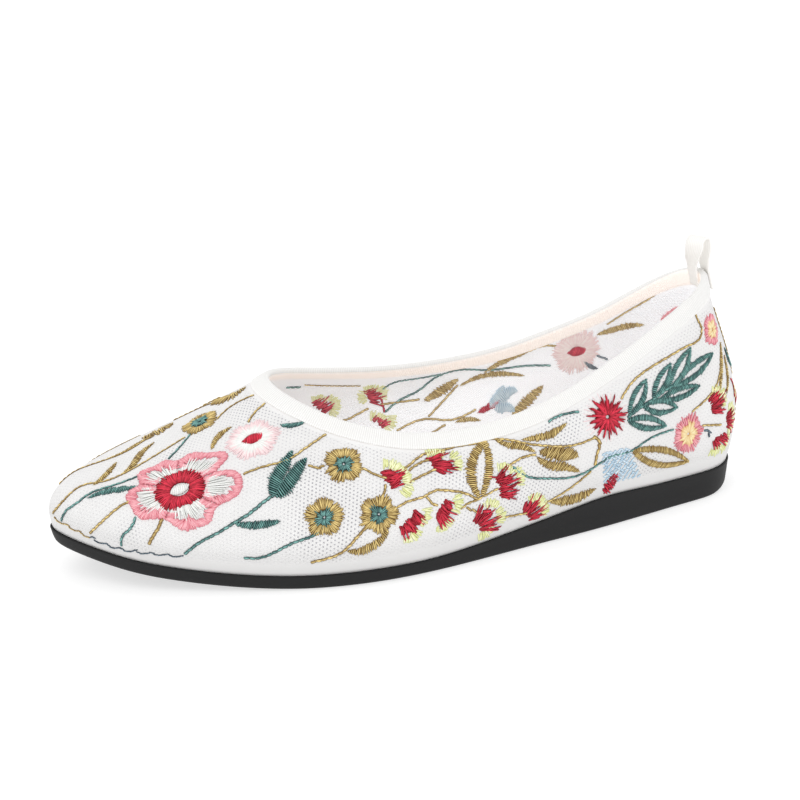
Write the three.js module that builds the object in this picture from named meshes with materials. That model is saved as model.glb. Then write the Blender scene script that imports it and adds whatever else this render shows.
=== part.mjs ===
// A woman's embroidered ballet flat for the left foot, modelled empty on its sole, in millimetres.
// The toe points along -X, the heel along +X, the outer side of the foot is at -Y, and the floor is Z = 0.
// The origin is on the floor, halfway along the sole, on the straight line from toe tip to heel.
// Going round the shoe, "turn" runs from 0 at the back of the heel, along the outer side to 1 at the
// toe tip, and back along the inner side to 2. Stations along the sole are shares from toe to heel.

import * as THREE from "three";

// Sole: its length, the width across the ball, and the thickness of its edge at the forefoot and heel
const soleLength = 245;
const ballWidth = 82;
const soleFore = 5.3;
const soleHeel = 11;
const wedgeCrest = 1.2;
const toeSpring = 12;
const heelRoll = 2.6;

// Upper: wall of mesh and lining, and the heights of the collar above the bed of the sole
const upperWall = 1.2;
const backRise = 69.3;
const featherInset = 0.8;

// Binding ribbon folded over the collar edge
const bindingWidth = 6.5;
const bindingTape = 0.7;

// Insole board with its cover
const insoleThickness = 3;
const insoleClearance = 0.5;

// Pull loop of ribbon at the back of the heel
const loopWidth = 7;
const loopTape = 0.8;
const loopHeight = 12.5;
const loopSpread = 2.7;
const loopTwist = THREE.MathUtils.degToRad(35);
const loopTailOutside = 7.5;
const loopTailInside = 5.5;

// Pieces that touch on the real shoe are kept this far apart
const seat = 0.3;

// Facets round the shoe, and up its wall
const facetsRound = 96;
const facetsUp = 10;

// Places along the sole, as shares from toe to heel
const springEnd = 0.34;
const wedgeStart = 0.46;
const wedgeEnd = 0.78;
const wedgeCrestAt = 0.77;
const wedgeCrestSpan = 0.07;
const rollStart = 0.945;
const throatAt = 0.316;
const collarBackAt = 0.958;

// Half widths of the sole at stations from toe to heel, as shares of the ball width
const outlineRows = [
  { at: 0.03, outer: 0.14, inner: 0.14 },
  { at: 0.08, outer: 0.263, inner: 0.262 },
  { at: 0.15, outer: 0.367, inner: 0.368 },
  { at: 0.25, outer: 0.471, inner: 0.452 },
  { at: 0.35, outer: 0.545, inner: 0.452 },
  { at: 0.45, outer: 0.557, inner: 0.385 },
  { at: 0.55, outer: 0.513, inner: 0.325 },
  { at: 0.65, outer: 0.449, inner: 0.305 },
  { at: 0.75, outer: 0.388, inner: 0.318 },
  { at: 0.85, outer: 0.312, inner: 0.335 },
  { at: 0.93, outer: 0.25, inner: 0.285 },
  { at: 0.975, outer: 0.182, inner: 0.195 },
];

// The collar's crest at stations from throat to heel: half widths as shares of the ball width,
// rises above the bed as shares of the back rise. The first and last rows lie on the centre line.
const collarRows = [
  { at: 0, outer: 0, inner: 0, outerRise: 0.778, innerRise: 0.778 },
  { at: 0.04, outer: 0.172, inner: 0.205, outerRise: 0.73, innerRise: 0.737 },
  { at: 0.12, outer: 0.274, inner: 0.278, outerRise: 0.651, innerRise: 0.69 },
  { at: 0.25, outer: 0.348, inner: 0.31, outerRise: 0.576, innerRise: 0.643 },
  { at: 0.4, outer: 0.366, inner: 0.324, outerRise: 0.548, innerRise: 0.605 },
  { at: 0.55, outer: 0.341, inner: 0.307, outerRise: 0.567, innerRise: 0.6 },
  { at: 0.7, outer: 0.292, inner: 0.281, outerRise: 0.655, innerRise: 0.65 },
  { at: 0.85, outer: 0.243, inner: 0.243, outerRise: 0.845, innerRise: 0.797 },
  { at: 0.95, outer: 0.17, inner: 0.178, outerRise: 0.955, innerRise: 0.926 },
  { at: 1, outer: 0, inner: 0, outerRise: 1, innerRise: 1 },
];

// The wall's section at places from toe (0) to heel (1) round the shoe: how far it flares out of
// upright at the feather edge, how steeply it rises to the collar, and how far each end keeps
// its direction, as a share of the straight distance from feather edge to collar
const wallRows = [
  { at: 0, flare: 14, keepLow: 0.265, rise: 29.5, keepHigh: 0.65 },
  { at: 0.2, flare: 13, keepLow: 0.215, rise: 34, keepHigh: 0.585 },
  { at: 0.4, flare: 10, keepLow: 0.3, rise: 43, keepHigh: 0.41 },
  { at: 0.55, flare: 8, keepLow: 0.33, rise: 58, keepHigh: 0.36 },
  { at: 0.75, flare: 7.5, keepLow: 0.345, rise: 68, keepHigh: 0.33 },
  { at: 1, flare: 19, keepLow: 0.39, rise: 79, keepHigh: 0.33 },
];

// Cubic spline through (xs, ys). Its slope is level at both ends if level is true,
// and otherwise its curvature ends at nothing.
function spline(xs, ys, level = false) {
  const n = xs.length;
  const slope = (i) => (ys[i + 1] - ys[i]) / (xs[i + 1] - xs[i]);
  const diagonal = new Array(n).fill(1);
  const above = new Array(n).fill(0);
  const bend = new Array(n).fill(0);
  if (level) {
    above[0] = 0.5;
    bend[0] = (3 * slope(0)) / (xs[1] - xs[0]);
  }
  for (let i = 1; i < n; i++) {
    const last = i === n - 1;
    const before = xs[i] - xs[i - 1];
    const after = last ? 0 : xs[i + 1] - xs[i];
    let low = before;
    let right = last ? -6 * slope(i - 1) : 6 * (slope(i) - slope(i - 1));
    diagonal[i] = last ? 2 * before : 2 * (before + after);
    if (last && !level) {
      diagonal[i] = 1;
      low = 0;
      right = 0;
    }
    diagonal[i] -= low * above[i - 1];
    above[i] = after / diagonal[i];
    bend[i] = (right - low * bend[i - 1]) / diagonal[i];
  }
  for (let i = n - 2; i >= 0; i--) bend[i] -= above[i] * bend[i + 1];
  return (x) => {
    let i = 0;
    while (i < n - 2 && x > xs[i + 1]) i++;
    const h = xs[i + 1] - xs[i];
    const p = (xs[i + 1] - x) / h;
    const q = (x - xs[i]) / h;
    const curved = (p ** 3 - p) * bend[i] + (q ** 3 - q) * bend[i + 1];
    return p * ys[i] + q * ys[i + 1] + (curved * h * h) / 6;
  };
}

const column = (rows, name) => rows.map((row) => row[name]);
const clamp01 = (t) => Math.min(1, Math.max(0, t));

// Half an ellipse: 0 at both ends of a share and 1 at its middle
const endRound = (share) =>
  Math.sqrt(Math.max(0, 1 - (2 * share - 1) ** 2));

// Share of the length at a place round a side, so that places lie evenly round both ends
const stationOf = (place) => (1 - Math.cos(Math.PI * place)) / 2;
const placeOf = (station) => Math.acos(1 - 2 * station) / Math.PI;

// Half width of a closed outline with elliptical ends, in shares of the ball width
function halfWidth(rows, name) {
  const inside = rows.filter((row) => row.at > 0 && row.at < 1);
  const fullness = spline(
    column(inside, "at"),
    inside.map((row) => row[name] / endRound(row.at)),
  );
  return (station) => fullness(station) * endRound(station);
}

const outlineWidth = {
  outer: halfWidth(outlineRows, "outer"),
  inner: halfWidth(outlineRows, "inner"),
};
const collarWidth = {
  outer: halfWidth(collarRows, "outer"),
  inner: halfWidth(collarRows, "inner"),
};
const collarPlaces = column(collarRows, "at").map(placeOf);
const collarRise = {
  outer: spline(collarPlaces, column(collarRows, "outerRise"), true),
  inner: spline(collarPlaces, column(collarRows, "innerRise"), true),
};
const wallPlaces = column(wallRows, "at");
const wallShape = Object.fromEntries(
  ["flare", "keepLow", "rise", "keepHigh"].map((name) => [
    name,
    spline(wallPlaces, column(wallRows, name), true),
  ]),
);

// The side of the shoe and the place from toe (0) to heel (1) at a turn
function sideAt(turn) {
  const t = ((turn % 2) + 2) % 2;
  return t <= 1
    ? { side: "outer", sign: -1, place: 1 - t }
    : { side: "inner", sign: 1, place: t - 1 };
}

// Height of the tread above the floor: toe spring in front, a short roll at the back of the heel
function treadHeight(x) {
  const station = x / soleLength + 0.5;
  const spring = clamp01((springEnd - station) / springEnd);
  const roll = clamp01((station - rollStart) / (1 - rollStart));
  return toeSpring * spring ** 2 + heelRoll * roll ** 2;
}

// Height of the bed that the upper stands on: an even forefoot, then a low wedge to the heel
function bedHeight(x) {
  const station = x / soleLength + 0.5;
  const spring = clamp01((springEnd - station) / springEnd);
  const t = clamp01((station - wedgeStart) / (wedgeEnd - wedgeStart));
  const wedge = t * t * (3 - 2 * t);
  const crest = Math.exp(-(((station - wedgeCrestAt) / wedgeCrestSpan) ** 2));
  return (
    toeSpring * spring ** 2 +
    soleFore +
    (soleHeel - soleFore) * wedge +
    wedgeCrest * crest
  );
}

// Plan point of the sole's edge at a turn
function soleEdge(turn) {
  const { side, sign, place } = sideAt(turn);
  const station = stationOf(place);
  const y = sign * outlineWidth[side](station) * ballWidth;
  return new THREE.Vector2(soleLength * (station - 0.5), y);
}

// Plan point of the collar's crest at a turn
function collarPlan(turn) {
  const { side, sign, place } = sideAt(turn);
  const along = stationOf(place);
  const station = throatAt + (collarBackAt - throatAt) * along;
  const y = sign * collarWidth[side](along) * ballWidth;
  return new THREE.Vector2(soleLength * (station - 0.5), y);
}

// Outward plan normal of a curve given by turn
function planNormal(curve, turn) {
  const step = 1e-3;
  const along = curve(turn + step).sub(curve(turn - step));
  return new THREE.Vector2(-along.y, along.x).normalize();
}

// The sole's edge moved in by an inset
const insetEdge = (turn, inset) =>
  soleEdge(turn).addScaledVector(planNormal(soleEdge, turn), -inset);

// The wall's section at a turn: a cubic curve from the feather edge up to the collar's crest
function wallCurve(turn) {
  const { side, place } = sideAt(turn);
  const foot = insetEdge(turn, featherInset);
  const low = new THREE.Vector3(foot.x, foot.y, bedHeight(foot.x) + seat);
  const plan = collarPlan(turn);
  const rise = collarRise[side](place) * backRise;
  const high = new THREE.Vector3(plan.x, plan.y, bedHeight(plan.x) + rise);
  const reach = low.distanceTo(high);
  const flare = THREE.MathUtils.degToRad(wallShape.flare(place));
  const steep = THREE.MathUtils.degToRad(wallShape.rise(place));
  const out = planNormal(soleEdge, turn).multiplyScalar(Math.sin(flare));
  const back = planNormal(collarPlan, turn).multiplyScalar(-Math.cos(steep));
  const start = new THREE.Vector3(out.x, out.y, Math.cos(flare));
  const end = new THREE.Vector3(back.x, back.y, Math.sin(steep));
  return new THREE.CubicBezierCurve3(
    low,
    low.clone().addScaledVector(start, wallShape.keepLow(place) * reach),
    high.clone().addScaledVector(end, -wallShape.keepHigh(place) * reach),
    high,
  );
}

// Outward normal of the wall at a turn and a share up its section
function wallNormal(turn, up) {
  const step = 1e-3;
  const ahead = wallCurve(turn + step).getPoint(up);
  const behind = wallCurve(turn - step).getPoint(up);
  const round = ahead.sub(behind);
  return round.cross(wallCurve(turn).getTangent(up)).negate().normalize();
}

// The share up a wall curve that lies a given depth below its crest, measured along the curve
function shareAtDepth(curve, depth) {
  const length = curve.getLength();
  return curve.getUtoTmapping(1 - depth / length);
}

// A point that lies off the wall's outer face by a distance, at a depth below the crest
function offWall(turn, depth, off) {
  const curve = wallCurve(turn);
  const up = shareAtDepth(curve, depth);
  return curve.getPoint(up).addScaledVector(wallNormal(turn, up), off);
}

// A closed mesh from rings of points. Each ring has as many points, and faces join each ring to
// the next. Joined in a loop, the rings make a tube; otherwise ladders across the first and
// last ring close it.
function solidFromRings(rings, inLoop) {
  const count = rings[0].length;
  const positions = rings.flat().flatMap((p) => [p.x, p.y, p.z]);
  const faces = [];
  const face = (a, b, c) => {
    if (a !== b && b !== c && c !== a) faces.push(a, b, c);
  };
  const joins = inLoop ? rings.length : rings.length - 1;
  for (let r = 0; r < joins; r++) {
    const low = r * count;
    const high = ((r + 1) % rings.length) * count;
    for (let i = 0; i < count; i++) {
      const j = (i + 1) % count;
      face(low + i, high + j, low + j);
      face(low + i, high + i, high + j);
    }
  }
  if (!inLoop) {
    const last = (rings.length - 1) * count;
    for (let i = 0; i < count / 2; i++) {
      const j = (count - i) % count;
      const k = count - i - 1;
      face(i, i + 1, k);
      face(i, k, j);
      face(last + i, last + k, last + i + 1);
      face(last + i, last + j, last + k);
    }
  }
  const geometry = new THREE.BufferGeometry();
  geometry.setAttribute(
    "position",
    new THREE.Float32BufferAttribute(positions, 3),
  );
  geometry.setIndex(faces);
  geometry.computeVertexNormals();
  return geometry;
}

// A ring of points round the shoe
const ringRound = (pointAt) =>
  Array.from({ length: facetsRound }, (_, i) =>
    pointAt((2 * i) / facetsRound),
  );

// A ring on the sole's edge moved in by an inset, at a height found from the tread and bed there
function edgeRing(inset, height) {
  return ringRound((turn) => {
    const edge = insetEdge(turn, inset);
    const z = height(treadHeight(edge.x), bedHeight(edge.x));
    return new THREE.Vector3(edge.x, edge.y, z);
  });
}

// Outsole: one moulded piece, its side drawn in a little towards a rounded tread edge
function outsole() {
  const edgeRows = [
    { inset: 2.3, height: (tread) => tread },
    { inset: 1.3, height: (tread) => tread + 0.45 },
    { inset: 0.8, height: (tread) => tread + 1.3 },
    { inset: 0.1, height: (tread, bed) => bed - 0.8 },
    { inset: 0, height: (tread, bed) => bed - 0.25 },
    { inset: 0.25, height: (tread, bed) => bed },
  ];
  return solidFromRings(
    edgeRows.map((row) => edgeRing(row.inset, row.height)),
    false,
  );
}

// Insole: a covered board that fills the bed inside the upper
function insole() {
  const inset = featherInset + upperWall + insoleClearance;
  const rounding = 0.8;
  return solidFromRings(
    [
      edgeRing(inset, (tread, bed) => bed + seat),
      edgeRing(inset, (tread, bed) => bed + seat + insoleThickness - rounding),
      edgeRing(inset + rounding, (tread, bed) => bed + seat + insoleThickness),
    ],
    false,
  );
}

// Upper: a wall of even thickness, open underneath and at the collar
function upper() {
  const outside = [];
  const inside = [];
  for (let row = 0; row <= facetsUp; row++) {
    const share = row / facetsUp;
    const ring = (off) =>
      ringRound((turn) => {
        const curve = wallCurve(turn);
        const top = shareAtDepth(curve, bindingTape + seat);
        const up = share * top;
        return curve.getPoint(up).addScaledVector(wallNormal(turn, up), off);
      });
    outside.push(ring(0));
    inside.push(ring(-upperWall));
  }
  return solidFromRings([...outside, ...inside.reverse()], true);
}

// Binding: a ribbon folded over the collar edge, a U in section with a rounded fold
function collarBinding() {
  const outFace = seat + bindingTape;
  const inFace = -upperWall - seat - bindingTape;
  const sectionRows = [
    { depth: bindingWidth, off: seat },
    { depth: bindingWidth, off: outFace },
    { depth: bindingTape, off: outFace },
    { depth: 0.15, off: seat },
    { depth: 0.15, off: -upperWall - seat },
    { depth: bindingTape, off: inFace },
    { depth: bindingWidth, off: inFace },
    { depth: bindingWidth, off: -upperWall - seat },
    { depth: bindingTape, off: -upperWall - seat },
    { depth: bindingTape, off: seat },
  ];
  return solidFromRings(
    sectionRows.map((row) =>
      ringRound((turn) => offWall(turn, row.depth, row.off)),
    ),
    true,
  );
}

// Radius of the collar's plan at the back of the heel, from how fast its crest falls away there
function heelRadius() {
  const back = collarPlan(0);
  const beside = collarPlan(0.02);
  return beside.y ** 2 / (2 * (back.x - beside.x));
}

// Middle line of the pull loop, as rows of an offset from the wall and a height above the crest.
// It climbs inside the collar, spreads a little, turns over and comes down outside.
function loopRows(inside, outside) {
  const middle = (outside + inside) / 2;
  const springing = loopHeight - loopSpread;
  const arcPoint = (degrees) => {
    const angle = THREE.MathUtils.degToRad(degrees);
    return {
      off: middle - loopSpread * Math.cos(angle),
      height: springing + loopSpread * Math.sin(angle),
    };
  };
  return [
    { off: inside, height: -loopTailInside },
    { off: inside, height: -loopTailInside / 2 },
    { off: inside, height: 0 },
    { off: inside, height: springing * 0.3 },
    { off: middle - loopSpread, height: springing * 0.7 },
    ...[0, 30, 60, 90, 120, 150, 180].map(arcPoint),
    { off: middle + loopSpread, height: springing * 0.7 },
    { off: outside, height: springing * 0.3 },
    { off: outside, height: 0 },
  ];
}

// Pull loop: a ribbon over the binding at the back of the heel, twisted above the collar
function pullLoop() {
  const crest = wallCurve(0).getPoint(1);
  const rise = wallCurve(0).getTangent(1);
  const out = wallNormal(0, 1);
  const upright = new THREE.Vector3(0, 0, 1);
  const wide = new THREE.Vector3(0, 1, 0);
  const fit = bindingTape + 2 * seat + loopTape / 2;
  const path = loopRows(-upperWall - fit, fit).map(({ off, height }) =>
    crest.clone().addScaledVector(out, off).addScaledVector(rise, height),
  );
  // The outer tail lies along the back of the heel, which bends away from the collar
  const tailSteps = 3;
  for (let i = 1; i <= tailSteps; i++)
    path.push(offWall(0, (loopTailOutside * i) / tailSteps, fit));
  const stations = path.map((point, i) => {
    const before = path[Math.max(0, i - 1)];
    const after = path[Math.min(path.length - 1, i + 1)];
    const thick = after.clone().sub(before).cross(wide).normalize();
    const climb = clamp01((point.z - crest.z) / (loopHeight - loopSpread));
    const free = climb * climb * (3 - 2 * climb);
    const radius = heelRadius() + point.x - crest.x;
    const corner = (w, t) => {
      const sag = ((1 - free) * w * w) / (2 * radius);
      return point
        .clone()
        .addScaledVector(wide, w)
        .addScaledVector(thick, t)
        .addScaledVector(out, -sag)
        .sub(crest)
        .applyAxisAngle(upright, loopTwist * free)
        .add(crest);
    };
    const w = loopWidth / 2;
    const t = loopTape / 2;
    return [
      ...[-w, 0, w].map((across) => corner(across, t)),
      ...[w, 0, -w].map((across) => corner(across, -t)),
    ];
  });
  return solidFromRings(stations, false);
}

const finishes = {
  rubber: { color: 0x1b1b1c, roughness: 0.62, metalness: 0 },
  mesh: { color: 0xf2efec, roughness: 0.85, metalness: 0 },
  ribbon: { color: 0xf7f5f0, roughness: 0.7, metalness: 0 },
  sock: { color: 0xe9e2d6, roughness: 0.8, metalness: 0 },
};

const shoe = new THREE.Group();
const add = (name, geometry, finish) => {
  const material = new THREE.MeshStandardMaterial(finishes[finish]);
  const mesh = new THREE.Mesh(geometry, material);
  mesh.name = name;
  shoe.add(mesh);
};

add("outsole", outsole(), "rubber");
add("insole", insole(), "sock");
add("upper", upper(), "mesh");
add("collar_binding", collarBinding(), "ribbon");
add("pull_loop", pullLoop(), "ribbon");

export default shoe;
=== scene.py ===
import bmesh
import bpy
import numpy as np
from mathutils import Matrix, Vector


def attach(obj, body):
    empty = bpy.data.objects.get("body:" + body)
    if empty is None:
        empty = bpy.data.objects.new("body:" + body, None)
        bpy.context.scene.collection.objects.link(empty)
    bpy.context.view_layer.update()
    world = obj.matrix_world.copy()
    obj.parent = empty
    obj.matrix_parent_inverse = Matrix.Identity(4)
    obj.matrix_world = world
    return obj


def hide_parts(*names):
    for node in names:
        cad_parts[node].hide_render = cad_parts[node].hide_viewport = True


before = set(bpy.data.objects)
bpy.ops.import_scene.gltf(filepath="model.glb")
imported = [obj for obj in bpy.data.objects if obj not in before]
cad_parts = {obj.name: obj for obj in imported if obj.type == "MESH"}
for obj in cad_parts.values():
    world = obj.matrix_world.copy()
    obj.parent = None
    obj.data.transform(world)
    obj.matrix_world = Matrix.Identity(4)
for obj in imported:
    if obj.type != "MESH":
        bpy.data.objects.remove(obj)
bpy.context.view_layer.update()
MM = 0.001

# Camera, at the photograph's angle: a long lens above the outer side, a little ahead of square,
# rolled by two degrees. It aims at the point of the shoe in the middle of the picture.
picture = 800
focal_pixels = 1795.4
aim = np.array([0.23, 0.0, 45.7])
toward_toe = np.radians(14.874)
elevation = np.radians(20.53)
roll = np.radians(-2.133)
distance = 620.44

look = np.array(
    [
        np.sin(toward_toe) * np.cos(elevation),
        np.cos(toward_toe) * np.cos(elevation),
        -np.sin(elevation),
    ]
)
level_right = np.array([np.cos(toward_toe), -np.sin(toward_toe), 0])
level_up = np.cross(level_right, look)
right = np.cos(roll) * level_right + np.sin(roll) * level_up
upward = np.cross(right, look)
camera = bpy.data.objects.new("camera", bpy.data.cameras.new("camera"))
camera.data.sensor_width = 36
camera.data.lens = focal_pixels * camera.data.sensor_width / picture
camera.data.clip_start = 0.01
turned = Matrix(np.stack([right, upward, -look], axis=1).tolist()).to_4x4()
camera.matrix_world = Matrix.Translation(((aim - distance * look) * MM).tolist()) @ turned
bpy.context.scene.collection.objects.link(camera)
bpy.context.scene.camera = camera

# Studio: a white floor lit from below as well as above, a bright even surround, and two large
# soft lamps. Floor and surround both come out white, and the shoe's shadow is faint.
view = bpy.context.scene.view_settings
view.view_transform = "Standard"
view.look = "None"
surround = bpy.data.worlds.new("surround")
surround.use_nodes = True
surround.node_tree.nodes["Background"].inputs["Color"].default_value = (1, 1, 1, 1)
surround.node_tree.nodes["Background"].inputs["Strength"].default_value = 1.0
bpy.context.scene.world = surround


def lamp(name, at, size, power):
    """A square area lamp at a point in metres, turned to face the shoe."""
    made = bpy.data.objects.new(name, bpy.data.lights.new(name, "AREA"))
    made.data.shape = "SQUARE"
    made.data.size = size
    made.data.energy = power
    back = Vector(at) - Vector((0, 0, 0.03))
    made.matrix_world = Matrix.Translation(at) @ back.to_track_quat("Z", "Y").to_matrix().to_4x4()
    bpy.context.scene.collection.objects.link(made)


edge = 4.0
floor_corners = [(-edge, -edge, 0), (edge, -edge, 0), (edge, edge, 0), (-edge, edge, 0)]
floor_mesh = bpy.data.meshes.new("floor")
floor_mesh.from_pydata(floor_corners, [], [(0, 1, 2, 3)])
floor = bpy.data.objects.new("floor", floor_mesh)
bpy.context.scene.collection.objects.link(floor)
pale = bpy.data.materials.new("pale_floor")
pale.use_nodes = True
table = pale.node_tree.nodes["Principled BSDF"].inputs
table["Base Color"].default_value = (0.5, 0.5, 0.5, 1)
table["Roughness"].default_value = 0.9
table["Specular IOR Level"].default_value = 0.1
table["Emission Color"].default_value = (1, 1, 1, 1)
table["Emission Strength"].default_value = 0.62
floor_mesh.materials.append(pale)
lamp("key_lamp", (-0.45, -0.35, 1.0), 0.6, 1.6)
lamp("fill_lamp", (0.75, -0.5, 0.5), 0.8, 0.4)


# Outsole: one moulding of matt black rubber, thin under the toes and rising in a low wedge to the
# heel. Its side draws in a little towards a rounded tread edge, and the tread has fine bars.
sole_length = 245.0
ball_width = 82.0
sole_fore = 5.3
sole_heel = 11.0
wedge_crest = 1.2
wedge_crest_at = 0.77
wedge_crest_spread = 0.07
toe_spring = 12.0
heel_roll = 2.6
spring_end = 0.34
wedge_start = 0.46
wedge_end = 0.78
roll_start = 0.945

# Half widths, as shares of the ball's width, at shares of the sole's length
OUTLINE = {
    "at": [0.03, 0.08, 0.15, 0.25, 0.35, 0.45, 0.55, 0.65, 0.75, 0.85, 0.93, 0.975],
    "outer": [0.14, 0.263, 0.367, 0.471, 0.545, 0.557, 0.513, 0.449, 0.388, 0.312, 0.25, 0.182],
    "inner": [0.14, 0.262, 0.368, 0.452, 0.452, 0.385, 0.325, 0.305, 0.318, 0.335, 0.285, 0.195],
}


def spline(xs, ys, level=False):
    """Cubic spline through points, its ends level or else unbent, as a function of arrays."""
    xs, ys = np.asarray(xs, float), np.asarray(ys, float)
    h = np.diff(xs)
    rise = np.diff(ys) / h
    left, right_side = np.append(h, 0), np.insert(h, 0, 0)
    system = 2 * np.diag(left + right_side) + np.diag(h, 1) + np.diag(h, -1)
    load = 6 * (np.append(rise, 0) - np.insert(rise, 0, 0))
    if not level:
        system[0], system[-1] = np.eye(len(xs))[0], np.eye(len(xs))[-1]
        load[0] = load[-1] = 0
    bend = np.linalg.solve(system, load)

    def along(x):
        """The cubic's height at each x, from the heights and bends at the knots beside it."""
        i = np.clip(np.searchsorted(xs, x) - 1, 0, len(h) - 1)
        p = (xs[i + 1] - x) / h[i]
        q = 1 - p
        curved = (p**3 - p) * bend[i] + (q**3 - q) * bend[i + 1]
        return p * ys[i] + q * ys[i + 1] + curved * h[i] ** 2 / 6

    return along


def end_round(share):
    """Half an ellipse: 0 at both ends of a share and 1 at its middle."""
    return np.sqrt(np.clip(1 - (2 * share - 1) ** 2, 0, 1))


def half_width(table, side):
    """Half width at a share of the length, in ball widths, with elliptical ends."""
    at, width = np.array(table["at"]), np.array(table[side])
    inside = (at > 0) & (at < 1)
    fullness = spline(at[inside], width[inside] / end_round(at[inside]))
    return lambda share: fullness(share) * end_round(share)


def place_of(turn):
    """The place from toe, 0, to heel, 1, at a turn, and whether it is on the outer side."""
    turn = np.mod(turn, 2)
    return np.abs(turn - 1), turn <= 1


def plan_curve(table, front, back):
    """A closed curve in plan, as points at a turn, between two shares of the sole's length."""
    outer, inner = half_width(table, "outer"), half_width(table, "inner")

    def plan(turn):
        """Points at turns: spaced by a cosine along the length, a half width to either side."""
        place, on_outer = place_of(turn)
        share = (1 - np.cos(np.pi * place)) / 2
        x = sole_length * (front + (back - front) * share - 0.5)
        y = ball_width * np.where(on_outer, -outer(share), inner(share))
        return np.stack([x, y], -1)

    return plan


def unit(vectors):
    """Vectors brought to a length of one."""
    return vectors / np.linalg.norm(vectors, axis=-1, keepdims=True)


def plan_normal(plan, turn):
    """Outward normal of a plan curve, from a small step either way."""
    step = plan(turn + 1e-3) - plan(turn - 1e-3)
    return unit(np.stack([-step[..., 1], step[..., 0]], -1))


sole_edge = plan_curve(OUTLINE, 0, 1)


def tread_height(x):
    """Height of the tread: toe spring in front, flat, then a short roll at the heel's back."""
    share = x / sole_length + 0.5
    spring = np.clip((spring_end - share) / spring_end, 0, 1)
    rolled = np.clip((share - roll_start) / (1 - roll_start), 0, 1)
    return toe_spring * spring**2 + heel_roll * rolled**2


def bed_height(x):
    """Height of the bed under the upper: even forefoot, then an S-curve up to the heel."""
    share = x / sole_length + 0.5
    spring = np.clip((spring_end - share) / spring_end, 0, 1)
    t = np.clip((share - wedge_start) / (wedge_end - wedge_start), 0, 1)
    crest = np.exp(-(((share - wedge_crest_at) / wedge_crest_spread) ** 2))
    wedge = (sole_heel - sole_fore) * t * t * (3 - 2 * t)
    return toe_spring * spring**2 + sole_fore + wedge + wedge_crest * crest


def inset_edge(turn, inset):
    """The sole's edge moved in by an inset."""
    return sole_edge(turn) - inset * plan_normal(sole_edge, turn)


def raised(height, by):
    """A height as a function of x, raised by an amount."""
    return lambda x: height(x) + by


def mesh_piece(name, points, faces, material, uv=None, extra=None):
    """
    An object of a smooth mesh, from points in millimetres. It may have a pair of cloth values
    for each corner of its faces, and further values for each point by name.
    """
    data = bpy.data.meshes.new(name)
    faces = faces if isinstance(faces, list) else faces.tolist()
    data.from_pydata((points * MM).tolist(), [], faces)
    data.shade_smooth()
    if uv is not None:
        layer = data.uv_layers.new(name="cloth")
        layer.data.foreach_set("uv", uv.reshape(-1).astype(np.float32))
    for key, values in (extra or {}).items():
        made = data.attributes.new(key, "FLOAT", "POINT")
        made.data.foreach_set("value", np.asarray(values, np.float32))
    data.materials.append(material)
    piece = bpy.data.objects.new(name, data)
    bpy.context.scene.collection.objects.link(piece)
    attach(piece, "root")
    return piece


def grid_faces(rows, columns, round_rows=False, round_columns=False):
    """Faces of a grid of points, its last row or column joined to its first if it is round."""
    r = np.arange(rows if round_rows else rows - 1)[:, None]
    c = np.arange(columns if round_columns else columns - 1)[None, :]
    r2, c2 = (r + 1) % rows, (c + 1) % columns
    corners = [r * columns + c, r * columns + c2, r2 * columns + c2, r2 * columns + c]
    return np.stack([corner + 0 * (r + c) for corner in corners], -1).reshape(-1, 4)


def tidy_mesh(piece):
    """Merges points that coincide and turns every face outwards."""
    made = bmesh.new()
    made.from_mesh(piece.data)
    bmesh.ops.remove_doubles(made, verts=made.verts, dist=1e-6)
    bmesh.ops.dissolve_degenerate(made, edges=made.edges, dist=1e-7)
    bmesh.ops.recalc_face_normals(made, faces=made.faces)
    made.to_mesh(piece.data)
    made.free()
    piece.data.shade_smooth()


def slab(profile, lower, upper_face, stations, across=41):
    """
    A flat piece sliced across its length. Each slice is a loop: the lower face from the outer
    side to the inner, the profile up the inner side, the upper face back, and the outer side down.
    """
    place = np.linspace(0, 1, stations)
    spread = (1 - np.cos(np.pi * np.linspace(0, 1, across))) / 2

    def side(turn):
        """The profile at turns: the sole's edge moved in by each inset and set at each height."""
        edges = []
        for inset, height in profile:
            edge = inset_edge(turn, inset)
            edges.append(np.column_stack([edge, height(edge[:, 0])]))
        return np.stack(edges, 1)

    inner, outer = side(1 + place), side(1 - place)

    def face(a, b, height):
        """A face between two edges, its points closer together near them."""
        mixed = a[:, None] + (b - a)[:, None] * spread[None, :, None]
        mixed[..., 2] = height(mixed[..., 0], mixed[..., 1])
        return mixed

    low = face(outer[:, 0], inner[:, 0], lower)
    high = face(inner[:, -1], outer[:, -1], upper_face)
    loop = np.concatenate([low[:, :-1], inner[:, :-1], high[:, :-1], outer[:, :0:-1]], 1)
    faces = grid_faces(stations, loop.shape[1], round_columns=True)
    return loop.reshape(-1, 3), faces


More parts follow.
